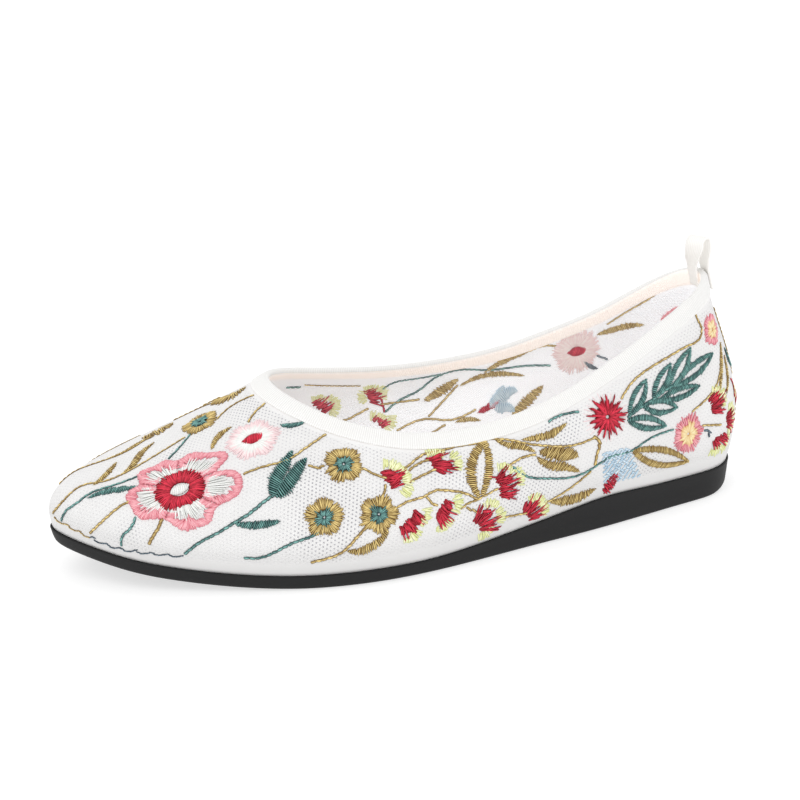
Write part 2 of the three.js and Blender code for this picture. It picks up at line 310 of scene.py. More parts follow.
class Value:
    """A shader value: arithmetic on it adds Math nodes to the tree that it lives in."""

    def __init__(self, tree, socket):
        self.tree, self.socket = tree, socket

    def math(self, operation, *others):
        """Adds a Math node that works on this value and any others."""
        inputs = dict(enumerate((self,) + others))
        return self.node("ShaderNodeMath", {"operation": operation}, inputs)

    def node(self, kind, settings=None, inputs=None, output=0):
        """Adds a node, with its settings first and then its inputs, and gives one output or several."""
        made = self.tree.nodes.new(kind)
        for key, setting in (settings or {}).items():
            setattr(made, key, setting)
        for key, value in (inputs or {}).items():
            if isinstance(value, Value):
                self.tree.links.new(value.socket, made.inputs[key])
            else:
                made.inputs[key].default_value = value
        if isinstance(output, tuple):
            return [Value(self.tree, made.outputs[key]) for key in output]
        return Value(self.tree, made.outputs[output]) if len(made.outputs) else None

    def __add__(self, other):
        return self.math("ADD", other)

    def __sub__(self, other):
        return self.math("SUBTRACT", other)

    def __mul__(self, other):
        return self.math("MULTIPLY", other)

    def __truediv__(self, other):
        return self.math("DIVIDE", other)

    def __pow__(self, other):
        return self.math("POWER", other)

    def __radd__(self, other):
        return self + other

    def __rmul__(self, other):
        return self * other

    def __rsub__(self, other):
        return self * -1 + other

    def step(self, low, high):
        """Rises smoothly from 0 at a low value to 1 at a high one."""
        ends = {"Value": self, "From Min": low, "From Max": high}
        return self.node("ShaderNodeMapRange", {"interpolation_type": "SMOOTHSTEP"}, ends)

    def mix(self, first, second):
        """Mixes two colours by this value."""
        return self.node(
            "ShaderNodeMix",
            {"data_type": "RGBA"},
            {"Factor": self, 6: first, 7: second},
            2,
        )


def finish(name, build):
    """
    A material whose build function is given a value to start nodes from and returns the
    Principled shader's inputs by name, with a height in millimetres under bump.
    """
    material = bpy.data.materials.new(name)
    material.use_nodes = True
    tree = material.node_tree
    tree.nodes.clear()
    start = Value(tree, None)
    inputs = build(start)
    height = inputs.pop("bump", None)
    if height is not None:
        inputs["Normal"] = start.node(
            "ShaderNodeBump", {}, {"Height": height * MM, "Distance": 1.0, "Strength": 1.0}
        )
    shader = start.node("ShaderNodeBsdfPrincipled", {}, inputs)
    start.node("ShaderNodeOutputMaterial", {}, {"Surface": shader})
    return material


def noise(start, scale, detail=2.0):
    """Noise of a number of lumps to the metre, over the piece's own coordinates."""
    where = start.node("ShaderNodeTexCoord", output="Object")
    return start.node("ShaderNodeTexNoise", {}, {"Vector": where, "Scale": scale, "Detail": detail})


def rubber(start):
    """Matt black rubber: a fine moulded grain and a faint cloudiness in tone and gloss."""
    grain = noise(start, 2600, 1.0)
    cloud = noise(start, 45, 3.0)
    dark = cloud.mix((0.006, 0.006, 0.0065, 1), (0.01, 0.01, 0.0105, 1))
    return {
        "Base Color": dark,
        "Roughness": 0.55 + 0.12 * cloud,
        "Specular IOR Level": 0.28,
        "bump": 0.03 * grain,
    }


tread_margin = 6.0
fore_field = (0.08, 0.47)
heel_field = (0.68, 0.93)
field_fade = 0.02
bar_pitch = 4.5
bar_slant = 0.25
bar_depth = 0.8


def tread(x, y):
    """
    Tread relief: bars that follow a clipped sine of the run along the sole, cut into the face
    within two fields, under the forefoot and the heel, and a margin from the sole's edge.
    """
    share = x / sole_length + 0.5
    place = np.arccos(np.clip(1 - 2 * share, -1, 1)) / np.pi
    outer, inner = inset_edge(1 - place, tread_margin), inset_edge(1 + place, tread_margin)
    room = np.minimum(y - outer[..., 1], inner[..., 1] - y)

    def field(low, high):
        """One between two shares of the length, with a straight fade at each."""
        return np.clip((share - low) / field_fade, 0, 1) * np.clip((high - share) / field_fade, 0, 1)

    fields = np.maximum(field(*fore_field), field(*heel_field))
    bars = np.clip(np.sin((x + bar_slant * y) * 2 * np.pi / bar_pitch) * 2.5 + 0.6, 0, 1)
    return tread_height(x) + bar_depth * bars * np.clip(room / bar_depth, 0, 1) * fields


sole_profile = [
    (2.9, tread_height),
    (2.1, raised(tread_height, 0.08)),
    (1.55, raised(tread_height, 0.35)),
    (1.15, raised(tread_height, 0.8)),
    (0.9, raised(tread_height, 1.4)),
    (0.5, lambda x: 0.5 * tread_height(x) + 0.5 * bed_height(x)),
    (0.1, raised(bed_height, -0.8)),
    (0.0, raised(bed_height, -0.45)),
    (0.05, raised(bed_height, -0.2)),
    (0.3, bed_height),
]
points, faces = slab(sole_profile, tread, lambda x, y: bed_height(x), 560)
outsole = mesh_piece("outsole_rubber", points, faces, finish("rubber", rubber))
tidy_mesh(outsole)
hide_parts("outsole")


# Insole: a board covered in pale cloth, its edge rolled over, filling the bed inside the upper.
# It is glued in on the sole's bed, and its top has a shallow cup for the heel.
feather_inset = 0.8
upper_wall = 1.2
seat = 0.3
insole_clearance = 0.5
insole_thickness = 3.0
insole_inset = feather_inset + upper_wall + insole_clearance
insole_rise = seat + insole_thickness
cup_at = 88
cup_long = 26
cup_wide = 17
cup_depth = 0.5
weave_pitch = 0.7 * MM


def sock_cloth(start):
    """Pale sock cloth: a fine plain weave, slightly warm, with a faint mottle."""
    where = start.node("ShaderNodeTexCoord", output="Object")
    x, y = start.node("ShaderNodeSeparateXYZ", {}, {"Vector": where}, (0, 1))
    waves = 2 * np.pi / weave_pitch
    weave = (x * waves).math("SINE") * (y * waves).math("SINE")
    mottle = noise(start, 120)
    tone = mottle.mix((0.74, 0.68, 0.6, 1), (0.82, 0.77, 0.7, 1))
    return {"Base Color": tone, "Roughness": 0.85, "bump": 0.05 * weave}


def insole_top(x, y):
    """Top of the insole: level across, but for a bell-shaped dish under the heel."""
    dish = np.exp(-(((x - cup_at) / cup_long) ** 2) - (y / cup_wide) ** 2)
    return bed_height(x) + insole_rise - cup_depth * dish


insole_profile = [
    (insole_inset, raised(bed_height, seat)),
    (insole_inset, raised(bed_height, insole_rise - 0.9)),
    (insole_inset + 0.15, raised(bed_height, insole_rise - 0.4)),
    (insole_inset + 0.5, raised(bed_height, insole_rise - 0.1)),
    (insole_inset + 1.0, raised(bed_height, insole_rise)),
]
points, faces = slab(insole_profile, lambda x, y: bed_height(x) + seat, insole_top, 300)
insole = mesh_piece("insole_sock", points, faces, finish("sock_cloth", sock_cloth))
tidy_mesh(insole)
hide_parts("insole")


# Upper: white net with pinholes laid over a smooth lining, one wall from the feather edge to the
# collar. The net's threads keep their spacing, so the pattern follows a flattened pattern piece.
throat_at = 0.316
collar_back_at = 0.958
back_rise = 69.3
binding_tape = 0.7
foot_gap = 0.02

# The collar's half widths, as shares of the ball's width, and its rises above the bed, as shares of
# the rise at the back, at shares of its length
COLLAR = {
    "at": [0, 0.04, 0.12, 0.25, 0.4, 0.55, 0.7, 0.85, 0.95, 1],
    "outer": [0, 0.172, 0.274, 0.348, 0.366, 0.341, 0.292, 0.243, 0.17, 0],
    "inner": [0, 0.205, 0.278, 0.31, 0.324, 0.307, 0.281, 0.243, 0.178, 0],
    "outer_rise": [0.778, 0.73, 0.651, 0.576, 0.548, 0.567, 0.655, 0.845, 0.955, 1],
    "inner_rise": [0.778, 0.737, 0.69, 0.643, 0.605, 0.6, 0.65, 0.797, 0.926, 1],
}
# The wall's flare at its foot and rise at its crest, in degrees, and how far it keeps each of these
# directions, as shares of its height, from toe to heel
WALL = {
    "at": [0, 0.2, 0.4, 0.55, 0.75, 1],
    "flare": [14, 13, 10, 8, 7.5, 19],
    "keep_low": [0.265, 0.215, 0.3, 0.33, 0.345, 0.39],
    "rise": [29.5, 34, 43, 58, 68, 79],
    "keep_high": [0.65, 0.585, 0.41, 0.36, 0.33, 0.33],
}

collar_plan = plan_curve(COLLAR, throat_at, collar_back_at)
collar_places = np.arccos(1 - 2 * np.array(COLLAR["at"])) / np.pi
rise_outer = spline(collar_places, COLLAR["outer_rise"], level=True)
rise_inner = spline(collar_places, COLLAR["inner_rise"], level=True)
wall_row = {name: spline(WALL["at"], WALL[name], level=True) for name in WALL if name != "at"}


def wall_controls(turn):
    """The four control points of the wall's section at a turn, from feather edge to crest."""
    place, on_outer = place_of(turn)
    foot = inset_edge(turn, feather_inset)
    low = np.concatenate([foot, (bed_height(foot[..., 0]) + seat)[..., None]], -1)
    plan = collar_plan(turn)
    rise = np.where(on_outer, rise_outer(place), rise_inner(place)) * back_rise
    high = np.concatenate([plan, (bed_height(plan[..., 0]) + rise)[..., None]], -1)
    reach = np.linalg.norm(high - low, axis=-1, keepdims=True)
    flare = np.radians(wall_row["flare"](place))[..., None]
    steep = np.radians(wall_row["rise"](place))[..., None]
    start = np.concatenate([plan_normal(sole_edge, turn) * np.sin(flare), np.cos(flare)], -1)
    end = np.concatenate([plan_normal(collar_plan, turn) * -np.cos(steep), np.sin(steep)], -1)
    low_keep = wall_row["keep_low"](place)[..., None] * reach
    high_keep = wall_row["keep_high"](place)[..., None] * reach
    return np.stack([low, low + start * low_keep, high - end * high_keep, high], -2)


# A fine table of sections round the shoe, read between its rows
section_count = 4096
section_table = wall_controls(np.linspace(0, 2, section_count + 1))


def wall(turn, up):
    """The wall's outer face at turns and shares up the section, a cubic of four control points."""
    where = np.mod(turn, 2) * section_count / 2
    row = np.clip(where.astype(int), 0, section_count - 1)
    part = (where - row)[..., None, None]
    c = section_table[row] * (1 - part) + section_table[row + 1] * part
    t = np.asarray(up)[..., None]
    s = 1 - t
    foot, low, high, top = np.moveaxis(c, -2, 0)
    return s**3 * foot + 3 * s * s * t * low + 3 * s * t * t * high + t**3 * top


def wall_normal(turn, up):
    """Outward normals of the wall, square to a small step round it and a small step up it."""
    round_it = wall(turn + 2e-3, up) - wall(turn - 2e-3, up)
    up_it = wall(turn, up + 1e-3) - wall(turn, up - 1e-3)
    return unit(np.cross(up_it, round_it))


def run_along(points):
    """The length run at each point of a line, or of many lines side by side, from its first."""
    steps = np.linalg.norm(np.diff(points, axis=0), axis=-1)
    return np.concatenate([np.zeros((1,) + steps.shape[1:]), np.cumsum(steps, axis=0)])


# A second table, of the length up the wall at turns and at shares of the section
rise_count = 512
rise_steps = 128
rise_shares = np.linspace(0, 1, rise_steps + 1)
rise_turns = np.linspace(0, 2, rise_count + 1)
rise_grid = wall(rise_turns[:, None] + 0 * rise_shares, rise_shares + 0 * rise_turns[:, None])
rise_run = run_along(np.swapaxes(rise_grid, 0, 1)).T


def up_at(turn, length, from_top=False):
    """The share up the section at a length in millimetres from its foot or down from its crest."""
    where = np.mod(np.asarray(turn, float), 2) * rise_count / 2
    row = np.clip(where.astype(int), 0, rise_count - 1)
    part = (where - row)[..., None]
    run = rise_run[row] * (1 - part) + rise_run[row + 1] * part
    wanted = run[..., -1] - length if from_top else length + 0 * run[..., -1]
    above = np.clip((run < wanted[..., None]).sum(-1), 1, rise_steps)
    low = np.take_along_axis(run, above[..., None] - 1, -1)[..., 0]
    high = np.take_along_axis(run, above[..., None], -1)[..., 0]
    return (above - 1 + (wanted - low) / (high - low)) / rise_steps


def flatten(points, passes=1500, share_of_pull=0.11):
    """
    The pattern piece of a curved grid, opened at the heel: starts from the collar's plan with each
    section turned down outwards and twice too large, then draws each thread in to its real length.
    """
    columns = points.shape[1]
    down = run_along(points[::-1])[::-1]
    outward = plan_normal(collar_plan, np.linspace(0, 2, columns))
    flat = 2 * (points[-1, :, :2] + outward * down[..., None])
    threads = [((1, 0), (0, 0), 1), ((0, 1), (0, 0), 1), ((1, 1), (0, 0), 1)]
    threads += [((1, 0), (0, 1), 1), ((2, 0), (0, 0), 0.3), ((0, 2), (0, 0), 0.3)]
    pairs = []
    for (ar, ac), (br, bc), hold in threads:
        tall, wide = points.shape[0] - max(ar, br), columns - max(ac, bc)
        a = (slice(ar, ar + tall), slice(ac, ac + wide))
        b = (slice(br, br + tall), slice(bc, bc + wide))
        pairs.append((a, b, np.linalg.norm(points[a] - points[b], axis=-1), hold))
    for _ in range(passes):
        moved = np.zeros_like(flat)
        for a, b, rest, hold in pairs:
            apart = flat[a] - flat[b]
            now = np.linalg.norm(apart, axis=-1)
            pull = apart * (hold * (rest - now) / now)[..., None]
            moved[a] += pull
            moved[b] -= pull
        flat = flat + moved * share_of_pull
    return flat


pattern_columns = 64
pattern_rows = 12
pattern_turns = np.linspace(0, 2, pattern_columns + 1)
pattern_ups = np.linspace(0, 1, pattern_rows + 1)[:, None]
pattern = flatten(wall(pattern_turns + 0 * pattern_ups, pattern_ups + 0 * pattern_turns))


def cloth_place(turn, up):
    """Where a place on the wall lies on the flattened pattern, in millimetres."""
    c = np.clip(turn / 2 * pattern_columns, 0, pattern_columns - 1e-6)
    r = np.clip(up * pattern_rows, 0, pattern_rows - 1e-6)
    ci, ri = c.astype(int), r.astype(int)
    cf, rf = (c - ci)[..., None], (r - ri)[..., None]
    low = pattern[ri, ci] * (1 - cf) + pattern[ri, ci + 1] * cf
    high = pattern[ri + 1, ci] * (1 - cf) + pattern[ri + 1, ci + 1] * cf
    return low * (1 - rf) + high * rf


def grid_uv(grid, rows, columns):
    """A grid's values at the corners of its faces, in the order that grid_faces gives them."""
    r, c = np.arange(rows)[:, None], np.arange(columns)[None, :]
    corners = [grid[(r + i) % len(grid), c + j] for i, j in ((0, 0), (0, 1), (1, 1), (1, 0))]
    return np.stack(corners, -2).reshape(-1, 2)


# The wall's two faces on a grid even in turn and in share, joined by square edges at foot and top
columns = 640
rows = 61
turns = np.linspace(0, 2, columns, endpoint=False)
top_share = up_at(turns, binding_tape + seat, from_top=True)
shares = np.linspace(0, 1, rows)[:, None] * top_share[None, :]
grid_turns = turns[None, :] + 0 * shares
face_out = wall(grid_turns, shares)
normals = wall_normal(grid_turns, shares)
face_in = face_out - normals * upper_wall
face_out[0, :, 2] -= seat - foot_gap
face_in[0, :, 2] -= seat - foot_gap
points = np.concatenate([face_out, face_in[::-1]])
faces = grid_faces(2 * rows, columns, round_rows=True, round_columns=True)
edge_turns = np.append(turns, 2.0)
edge_shares = np.linspace(0, 1, rows)[:, None] * np.append(top_share, top_share[0])[None, :]
cloth_uv = cloth_place(edge_turns[None, :] + 0 * edge_shares, edge_shares)
face_uv = grid_uv(np.concatenate([cloth_uv, cloth_uv[::-1]]), 2 * rows, columns)
above_foot = run_along(face_out)
below_crest = above_foot[-1:] - above_foot
marks = {
    "from_foot": np.concatenate([above_foot, above_foot[::-1]]).ravel(),
    "from_crest": np.concatenate([below_crest, below_crest[::-1]]).ravel(),
    "inside": np.repeat([0.0, 1.0], rows * columns),
}


def net_cloth(start):
    """
    White net over a lining: rows of staggered pinholes that open and close with the pull of the
    cloth, with fine ribs between. None is within about 4 mm of the sole or under the ribbon. The
    holes' dark grey is painted shade inside them, the net is painted darker towards the sole as
    painted shade, the lining is painted darker in its ribs' grooves, and the lining glows faintly
    as painted light that comes through the net.
    """
    uv = start.node("ShaderNodeUVMap", {"uv_map": "cloth"})
    x, y = start.node("ShaderNodeSeparateXYZ", {}, {"Vector": uv}, (0, 1))
    foot = start.node("ShaderNodeAttribute", {"attribute_name": "from_foot"}, output="Fac")
    crest = start.node("ShaderNodeAttribute", {"attribute_name": "from_crest"}, output="Fac")
    lining = start.node("ShaderNodeAttribute", {"attribute_name": "inside"}, output="Fac")
    pitch_x, pitch_y = 1.45, 1.1
    row = (y / pitch_y).math("FLOOR")
    across = (x / pitch_x + row * 0.5).math("FRACT") - 0.5
    upwards = (y / pitch_y).math("FRACT") - 0.5
    away = ((across * pitch_x) ** 2 + (upwards * pitch_y) ** 2) ** 0.5
    hole = 1 - away.step(0.14, 0.34)
    pull = noise(start, 38, 1.0).step(0.44, 0.64)
    open_part = foot.step(3.5, 6.0) * crest.step(6.2, 7.4)
    hole = hole * open_part * (0.26 + 0.74 * pull)
    rib = ((x * 0.35 + y * 0.94) * (2 * np.pi / 0.62)).math("SINE")
    cloud = noise(start, 60, 2.0)
    white = cloud.mix((0.8, 0.79, 0.785, 1), (0.87, 0.865, 0.86, 1))
    # The pinholes are the net's own; their dark grey is painted shade inside them
    outside = (hole * 0.8).mix(white, (0.36, 0.35, 0.4, 1))
    # Painted shade: the lining is darker in the grooves between its ribs
    lined = (0.5 + 0.5 * rib).mix((0.8, 0.82, 0.86, 1), (0.9, 0.91, 0.925, 1))
    # Painted shade: the net is painted darker towards the sole, down to a grey at its foot
    outside = foot.step(-6, 17).mix((0.64, 0.635, 0.63, 1), outside)
    return {
        "Base Color": lining.mix(outside, lined),
        # Painted light: the lining face glows faintly, as light that comes through the net
        "Emission Color": lining.mix((0, 0, 0, 1), (0.27, 0.275, 0.285, 1)),
        "Emission Strength": 1.0,
        "Roughness": 0.82,
        "Sheen Weight": 0.15,
        "bump": 0.05 * rib * open_part - 0.16 * hole,
    }


net = finish("net_cloth", net_cloth)
upper = mesh_piece("upper_net", points.reshape(-1, 3), faces, net, face_uv, marks)
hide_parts("upper")


# Collar binding: white ribbed ribbon folded over the collar's edge and stitched down both sides.
# Its ribs run across it, painted darker in their grooves as painted shade, and its inner half is a
# little warmer and glows faintly as painted light.
binding_width = 6.5
rib_pitch = 0.68
near_crest = 0.998
binding_columns = 1440
turns = np.linspace(0, 2, binding_columns, endpoint=False)

# The ribbon's section, folded over the crest: depth below it and distance off the wall's face
binding_profile = [
    (binding_width, 0.06),
    (binding_width, 0.4),
    (binding_width - 0.3, 0.62),
    (5.0, 0.72),
    (3.5, 0.8),
    (2.0, 0.82),
    (1.0, 0.78),
    (0.45, 0.55),
    (0.12, 0.05),
    (0.0, -0.6),
    (0.12, -1.25),
    (0.45, -1.75),
    (1.0, -1.98),
    (2.0, -2.02),
    (3.5, -2.0),
    (5.0, -1.92),
    (binding_width - 0.3, -1.82),
    (binding_width, -1.6),
    (binding_width, -1.26),
    (1.2, -1.26),
    (1.2, 0.06),
]
crest_line = wall(turns, 1 + 0 * turns)
run = run_along(np.concatenate([crest_line, crest_line[:1]]))
rib_count = np.round(run[-1] / rib_pitch)
rings = []
for depth, off in binding_profile:
    share = up_at(turns, depth, from_top=True) if depth else 1 + 0 * turns
    rings.append(wall(turns, share) + wall_normal(turns, np.minimum(share, near_crest)) * off)
points = np.stack(rings)
faces = grid_faces(len(rings), binding_columns, round_rows=True, round_columns=True)

# Round the tape the cloth's value counts ribs, and over it millimetres, the last hidden in the fold
over = np.append(run_along(np.array(binding_profile)), 30.0)
tangent = unit(np.roll(crest_line, -1, 0) - np.roll(crest_line, 1, 0))
ribbon_u = run[:-1] + ((points - crest_line) * tangent).sum(-1)
ribbon_u = np.concatenate([ribbon_u, ribbon_u[:, :1] + run[-1]], 1)
ribbon_u = np.concatenate([ribbon_u, ribbon_u[:1]]) / run[-1] * rib_count
ribbon_uv = np.stack([ribbon_u, over[:, None] + 0 * ribbon_u], -1)
face_uv = grid_uv(ribbon_uv, len(rings), binding_columns)


def ribbon(start):
    """White grosgrain: fine ribs across the tape with painted shade in their grooves, smooth selvedges, its
    lining half warmer and given a painted glow.
    """
    uv = start.node("ShaderNodeUVMap", {"uv_map": "cloth"})
    x, y = start.node("ShaderNodeSeparateXYZ", {}, {"Vector": uv}, (0, 1))
    rib = 0.5 + 0.5 * (x * (2 * np.pi)).math("SINE")
    within = y.step(0.7, 1.3)
    # Painted shade: the tape is darker in the grooves between its ribs
    white = (rib * 0.75 + 0.25).mix((0.76, 0.75, 0.73, 1), (0.93, 0.925, 0.91, 1))
    warm = y.step(8.6, 9.4)
    tone = warm.mix(white, (0.9, 0.85, 0.81, 1))
    # Painted light: the lining half glows, brightening it where it lies in shade
    painted_glow = warm.mix((0.02, 0.02, 0.02, 1), (0.34, 0.295, 0.27, 1))
    return {
        "Base Color": tone,
        "Roughness": 0.6,
        "Sheen Weight": 0.2,
        "Emission Color": painted_glow,
        "Emission Strength": 1.0,
        "bump": 0.12 * rib * within,
    }


grosgrain = finish("ribbon", ribbon)
binding = mesh_piece("collar_ribbon", points.reshape(-1, 3), faces, grosgrain, face_uv)
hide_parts("collar_binding")


# Pull loop: a short length of thin white ribbon at the back of the collar. It runs up from inside,
# over in a small arch that is twisted a little, and down the outside of the heel.
loop_width = 7.0
loop_tape = 0.8
loop_height = 12.5
loop_spread = 2.7
loop_twist = np.radians(35)
tail_outside = 7.5
tail_inside = 5.5
loop_stations = 121

# Its middle line: straight up beside the collar, over in a half circle and down along the wall
crest = wall(np.array(0.0), np.array(1.0))
crest_rise = unit(crest - wall(np.array(0.0), np.array(0.995)))
crest_out = wall_normal(np.array(0.0), np.array(near_crest))
fit = binding_tape + 2 * seat + loop_tape / 2
out_side, in_side = fit, -upper_wall - fit
loop_middle = (out_side + in_side) / 2
springing = loop_height - loop_spread
arch_at = np.radians(np.arange(0, 181, 30))
arch = np.stack([loop_middle - loop_spread * np.cos(arch_at), springing + loop_spread * np.sin(arch_at)], -1)
rise_in = [(in_side, -tail_inside), (in_side, -tail_inside / 2), (in_side, 0), (in_side, 0.3 * springing)]
rise_in.append((loop_middle - loop_spread, 0.7 * springing))
fall_out = [(loop_middle + loop_spread, 0.7 * springing), (out_side, 0.3 * springing), (out_side, 0)]
line = np.concatenate([rise_in, arch, fall_out])
line = crest + line[:, :1] * crest_out + line[:, 1:] * crest_rise
tail_turns = np.zeros(3)
tail_shares = up_at(tail_turns, tail_outside * np.arange(1, 4) / 3, from_top=True)
tail = wall(tail_turns, tail_shares) + wall_normal(tail_turns, tail_shares) * fit
line = np.concatenate([line, tail])
gone = run_along(line)
at = np.linspace(0, gone[-1], loop_stations)
line = np.stack([spline(gone, line[:, axis])(at) for axis in range(3)], -1)
thick = unit(np.cross(np.gradient(line, axis=0), [0, 1, 0]))

# Its tails lie round the heel, by the radius that the collar's plan has there, and it flattens and
# twists as it rises free of them
free = np.clip((line[:, 2] - crest[2]) / springing, 0, 1)
free = free * free * (3 - 2 * free)
beside = collar_plan(np.array(0.02))
heel_radius = beside[1] ** 2 / (2 * (crest[0] - beside[0])) + line[:, 0] - crest[0]
half, rim, between, sheet = loop_width / 2, 0.2, 1.2, loop_tape / 2
section = [(-half, -rim), (-half, rim), (-half + rim, sheet)]
section += [(-between, sheet), (between, sheet), (half - rim, sheet)]
section = np.concatenate([section, -np.array(section)])
sag = (1 - free)[:, None] * section[None, :, 0] ** 2 / (2 * heel_radius[:, None])
points = line[:, None] + section[None, :, :1] * np.array([0, 1, 0]) + section[None, :, 1:] * thick[:, None]
points = points - sag[..., None] * crest_out - crest
spin = loop_twist * free[:, None]
turned_x = points[..., 0] * np.cos(spin) - points[..., 1] * np.sin(spin)
turned_y = points[..., 0] * np.sin(spin) + points[..., 1] * np.cos(spin)
points = np.stack([turned_x, turned_y, points[..., 2]], -1) + crest
ring = len(section)
last_ring = (loop_stations - 1) * ring
faces = grid_faces(loop_stations, ring, round_columns=True).tolist()
faces += [list(range(ring)), list(range(last_ring, last_ring + ring))[::-1]]


def loop_ribbon(start):
    """Thin white tape with fine ribs along its length, painted darker in their grooves, and a faint painted
    glow.
    """
    across = start.node("ShaderNodeAttribute", {"attribute_name": "across"}, output="Fac")
    rib = 0.5 + 0.5 * (across * (2 * np.pi / 0.7)).math("SINE")
    return {
        # Painted shade: darker in the grooves between the ribs
        "Base Color": rib.mix((0.84, 0.83, 0.8, 1), (0.92, 0.91, 0.89, 1)),
        "Roughness": 0.65,
        # Painted light: a faint glow that keeps the tape white where it lies in shade
        "Emission Color": (0.05, 0.045, 0.04, 1),
        "Emission Strength": 1.0,
        "bump": 0.06 * rib,
    }


tape = finish("loop_ribbon", loop_ribbon)
marks = {"across": np.tile(section[:, 0], loop_stations)}
pull_loop = mesh_piece("pull_loop_ribbon", points.reshape(-1, 3), faces, tape, extra=marks)
tidy_mesh(pull_loop)
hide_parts("pull_loop")


# Embroidery: rayon thread worked through net and lining, so that every stitch shows on both faces,
# paler on the inner one. Stems are overlapped running stitches; the rest is satin stitch. Darker
# under-layers are painted shade in the gaps between stitches, each thread has a painted highlight
# along its top and painted shade down its flanks and at its ends, and the inner face's threads
# glow faintly as painted light.
chart_run = run_along(rise_grid[:, 0])
chance = np.random.default_rng(11)
sewn = {}
satin_pitch = 0.64
satin_thread = 0.56
under_pitch = 1.5
# Shade of the darker under-layers: painted shade that shows between the stitches over them
painted_gap_shade = -0.2


def chart(labels):
    """
    Places on the wall, as turn and share up, from pairs of millimetres: round the foot edge from
    the toe's tip, plus for the outer side and minus for the inner, and up the wall from its foot.
    """
    labels = np.asarray(labels, float)
    turn = np.interp(chart_run[rise_count // 2] - labels[..., 0], chart_run, rise_turns)
    return np.stack([turn, up_at(turn, labels[..., 1])], -1)


def on_wall(place):
    """Points of the wall at places."""
    return wall(place[..., 0], place[..., 1])


def slopes(place):
    """How the wall's point moves with turn and with share, from a small step either way."""
    turn, share = place[..., 0], place[..., 1]
    by_turn = (wall(turn + 1e-3, share) - wall(turn - 1e-3, share)) / 2e-3
    by_share = (wall(turn, share + 1e-3) - wall(turn, share - 1e-3)) / 2e-3
    return by_turn, by_share


def solve(a, b, c, d, e, f):
    """The pair x, y with a x + b y = e and c x + d y = f."""
    fixed = a * d - b * c
    return np.stack([e * d - b * f, a * f - e * c], -1) / fixed[..., None]


def step_by(place, vector):
    """The change of place that comes nearest to moving by a vector, by least squares."""
    u, v = slopes(place)
    uv = (u * v).sum(-1)
    return solve((u * u).sum(-1), uv, uv, (v * v).sum(-1), (u * vector).sum(-1), (v * vector).sum(-1))


def trim(place):
    """Keeps places on the wall, clear of its very foot and crest."""
    return np.stack([place[..., 0], np.clip(place[..., 1], 0.004, 0.985)], -1)


def settle(place, target):
    """The wall's nearest places to some points, by five Gauss-Newton steps from a first guess."""
    for _ in range(5):
        place = trim(place + np.clip(step_by(place, target - on_wall(place)), -0.08, 0.08))
    return place


def path(labels, pitch):
    """Places along a spline through charted points in space, evenly spaced, settled on the wall."""
    known = chart(labels)
    points = on_wall(known)
    gone = run_along(points)
    count = max(int(round(gone[-1] / pitch)), 3)
    at = np.linspace(0, gone[-1], count + 1)
    guess = np.stack([np.interp(at, gone, known[:, 0]), np.interp(at, gone, known[:, 1])], -1)
    if len(points) < 3:
        target = points[0] + (points[-1] - points[0]) * (at / gone[-1])[:, None]
    else:
        target = np.stack([spline(gone, points[:, axis])(at) for axis in range(3)], -1)
    return settle(guess, target)


def sides(place):
    """Unit vectors along a line of places and across it, to the left as seen from outside."""
    along = unit(np.gradient(on_wall(place), axis=0))
    across = np.cross(wall_normal(place[..., 0], place[..., 1]), along)
    return along, across


def sew(colour, start, end, width, lift, shade=None):
    """Keeps stitches between places, each with a width, a rise and a shade, given for the darker layers that
    are painted shade, and otherwise by chance.
    """
    count = len(start)
    shades = chance.uniform(0.08, 0.92, count) if shade is None else np.full(count, shade)
    row = np.column_stack([start, end, np.full(count, width), np.full(count, lift), shades])
    sewn.setdefault(colour, []).append(row)


def stem(colour, labels, width=0.84, stitch=2.2):
    """
    A line of running stitches, each starting a little to the other side of the line than the one
    before it and lapping it, over a darker thread that fills the gaps as painted shade.
    """
    place = path(labels, stitch * 0.86)
    along, across = sides(place)
    sway = np.where(np.arange(len(place)) % 2, 0.13, -0.13)[:, None]
    start = place + step_by(place, across * sway)
    end = place + step_by(place, along * stitch - across * sway)
    sew(colour, start[:-1], end[:-1], width, 0.36)
    # Painted shade: a darker thread along the gaps between the stitches
    under = place + step_by(place, along * stitch * 0.43)
    ends = under + step_by(under, along * stitch * 0.9)
    sew(colour, under[:-2], ends[:-2], width * 0.8, 0.14, 0.12)


def satin(colour, labels, width, slant=0.5, sharp=0.6):
    """
    A band of slanting stitches across a line, its width a sine of the run to a power, sewn over
    a darker layer that shows between them as painted shade.
    """
    place = path(labels, satin_pitch)
    along, across = sides(place)
    share = np.linspace(0, 1, len(place))
    full = 0.5 * (0.25 + (width - 0.25) * np.sin(np.pi * share) ** sharp)[:, None]
    # Painted shade: the darker layer in the gaps between the stitches
    under = step_by(place, 0.86 * full * (across + along * slant))
    sew(colour, place - under, place + under, satin_pitch * under_pitch, 0.05, painted_gap_shade)
    half = full * (1.07 + 0.12 * chance.standard_normal(full.shape))
    reach = half * (across + along * (slant + 0.12 * chance.standard_normal(full.shape)))
    reach = step_by(place, reach)
    sew(colour, place - reach, place + reach, satin_thread, 0.45)


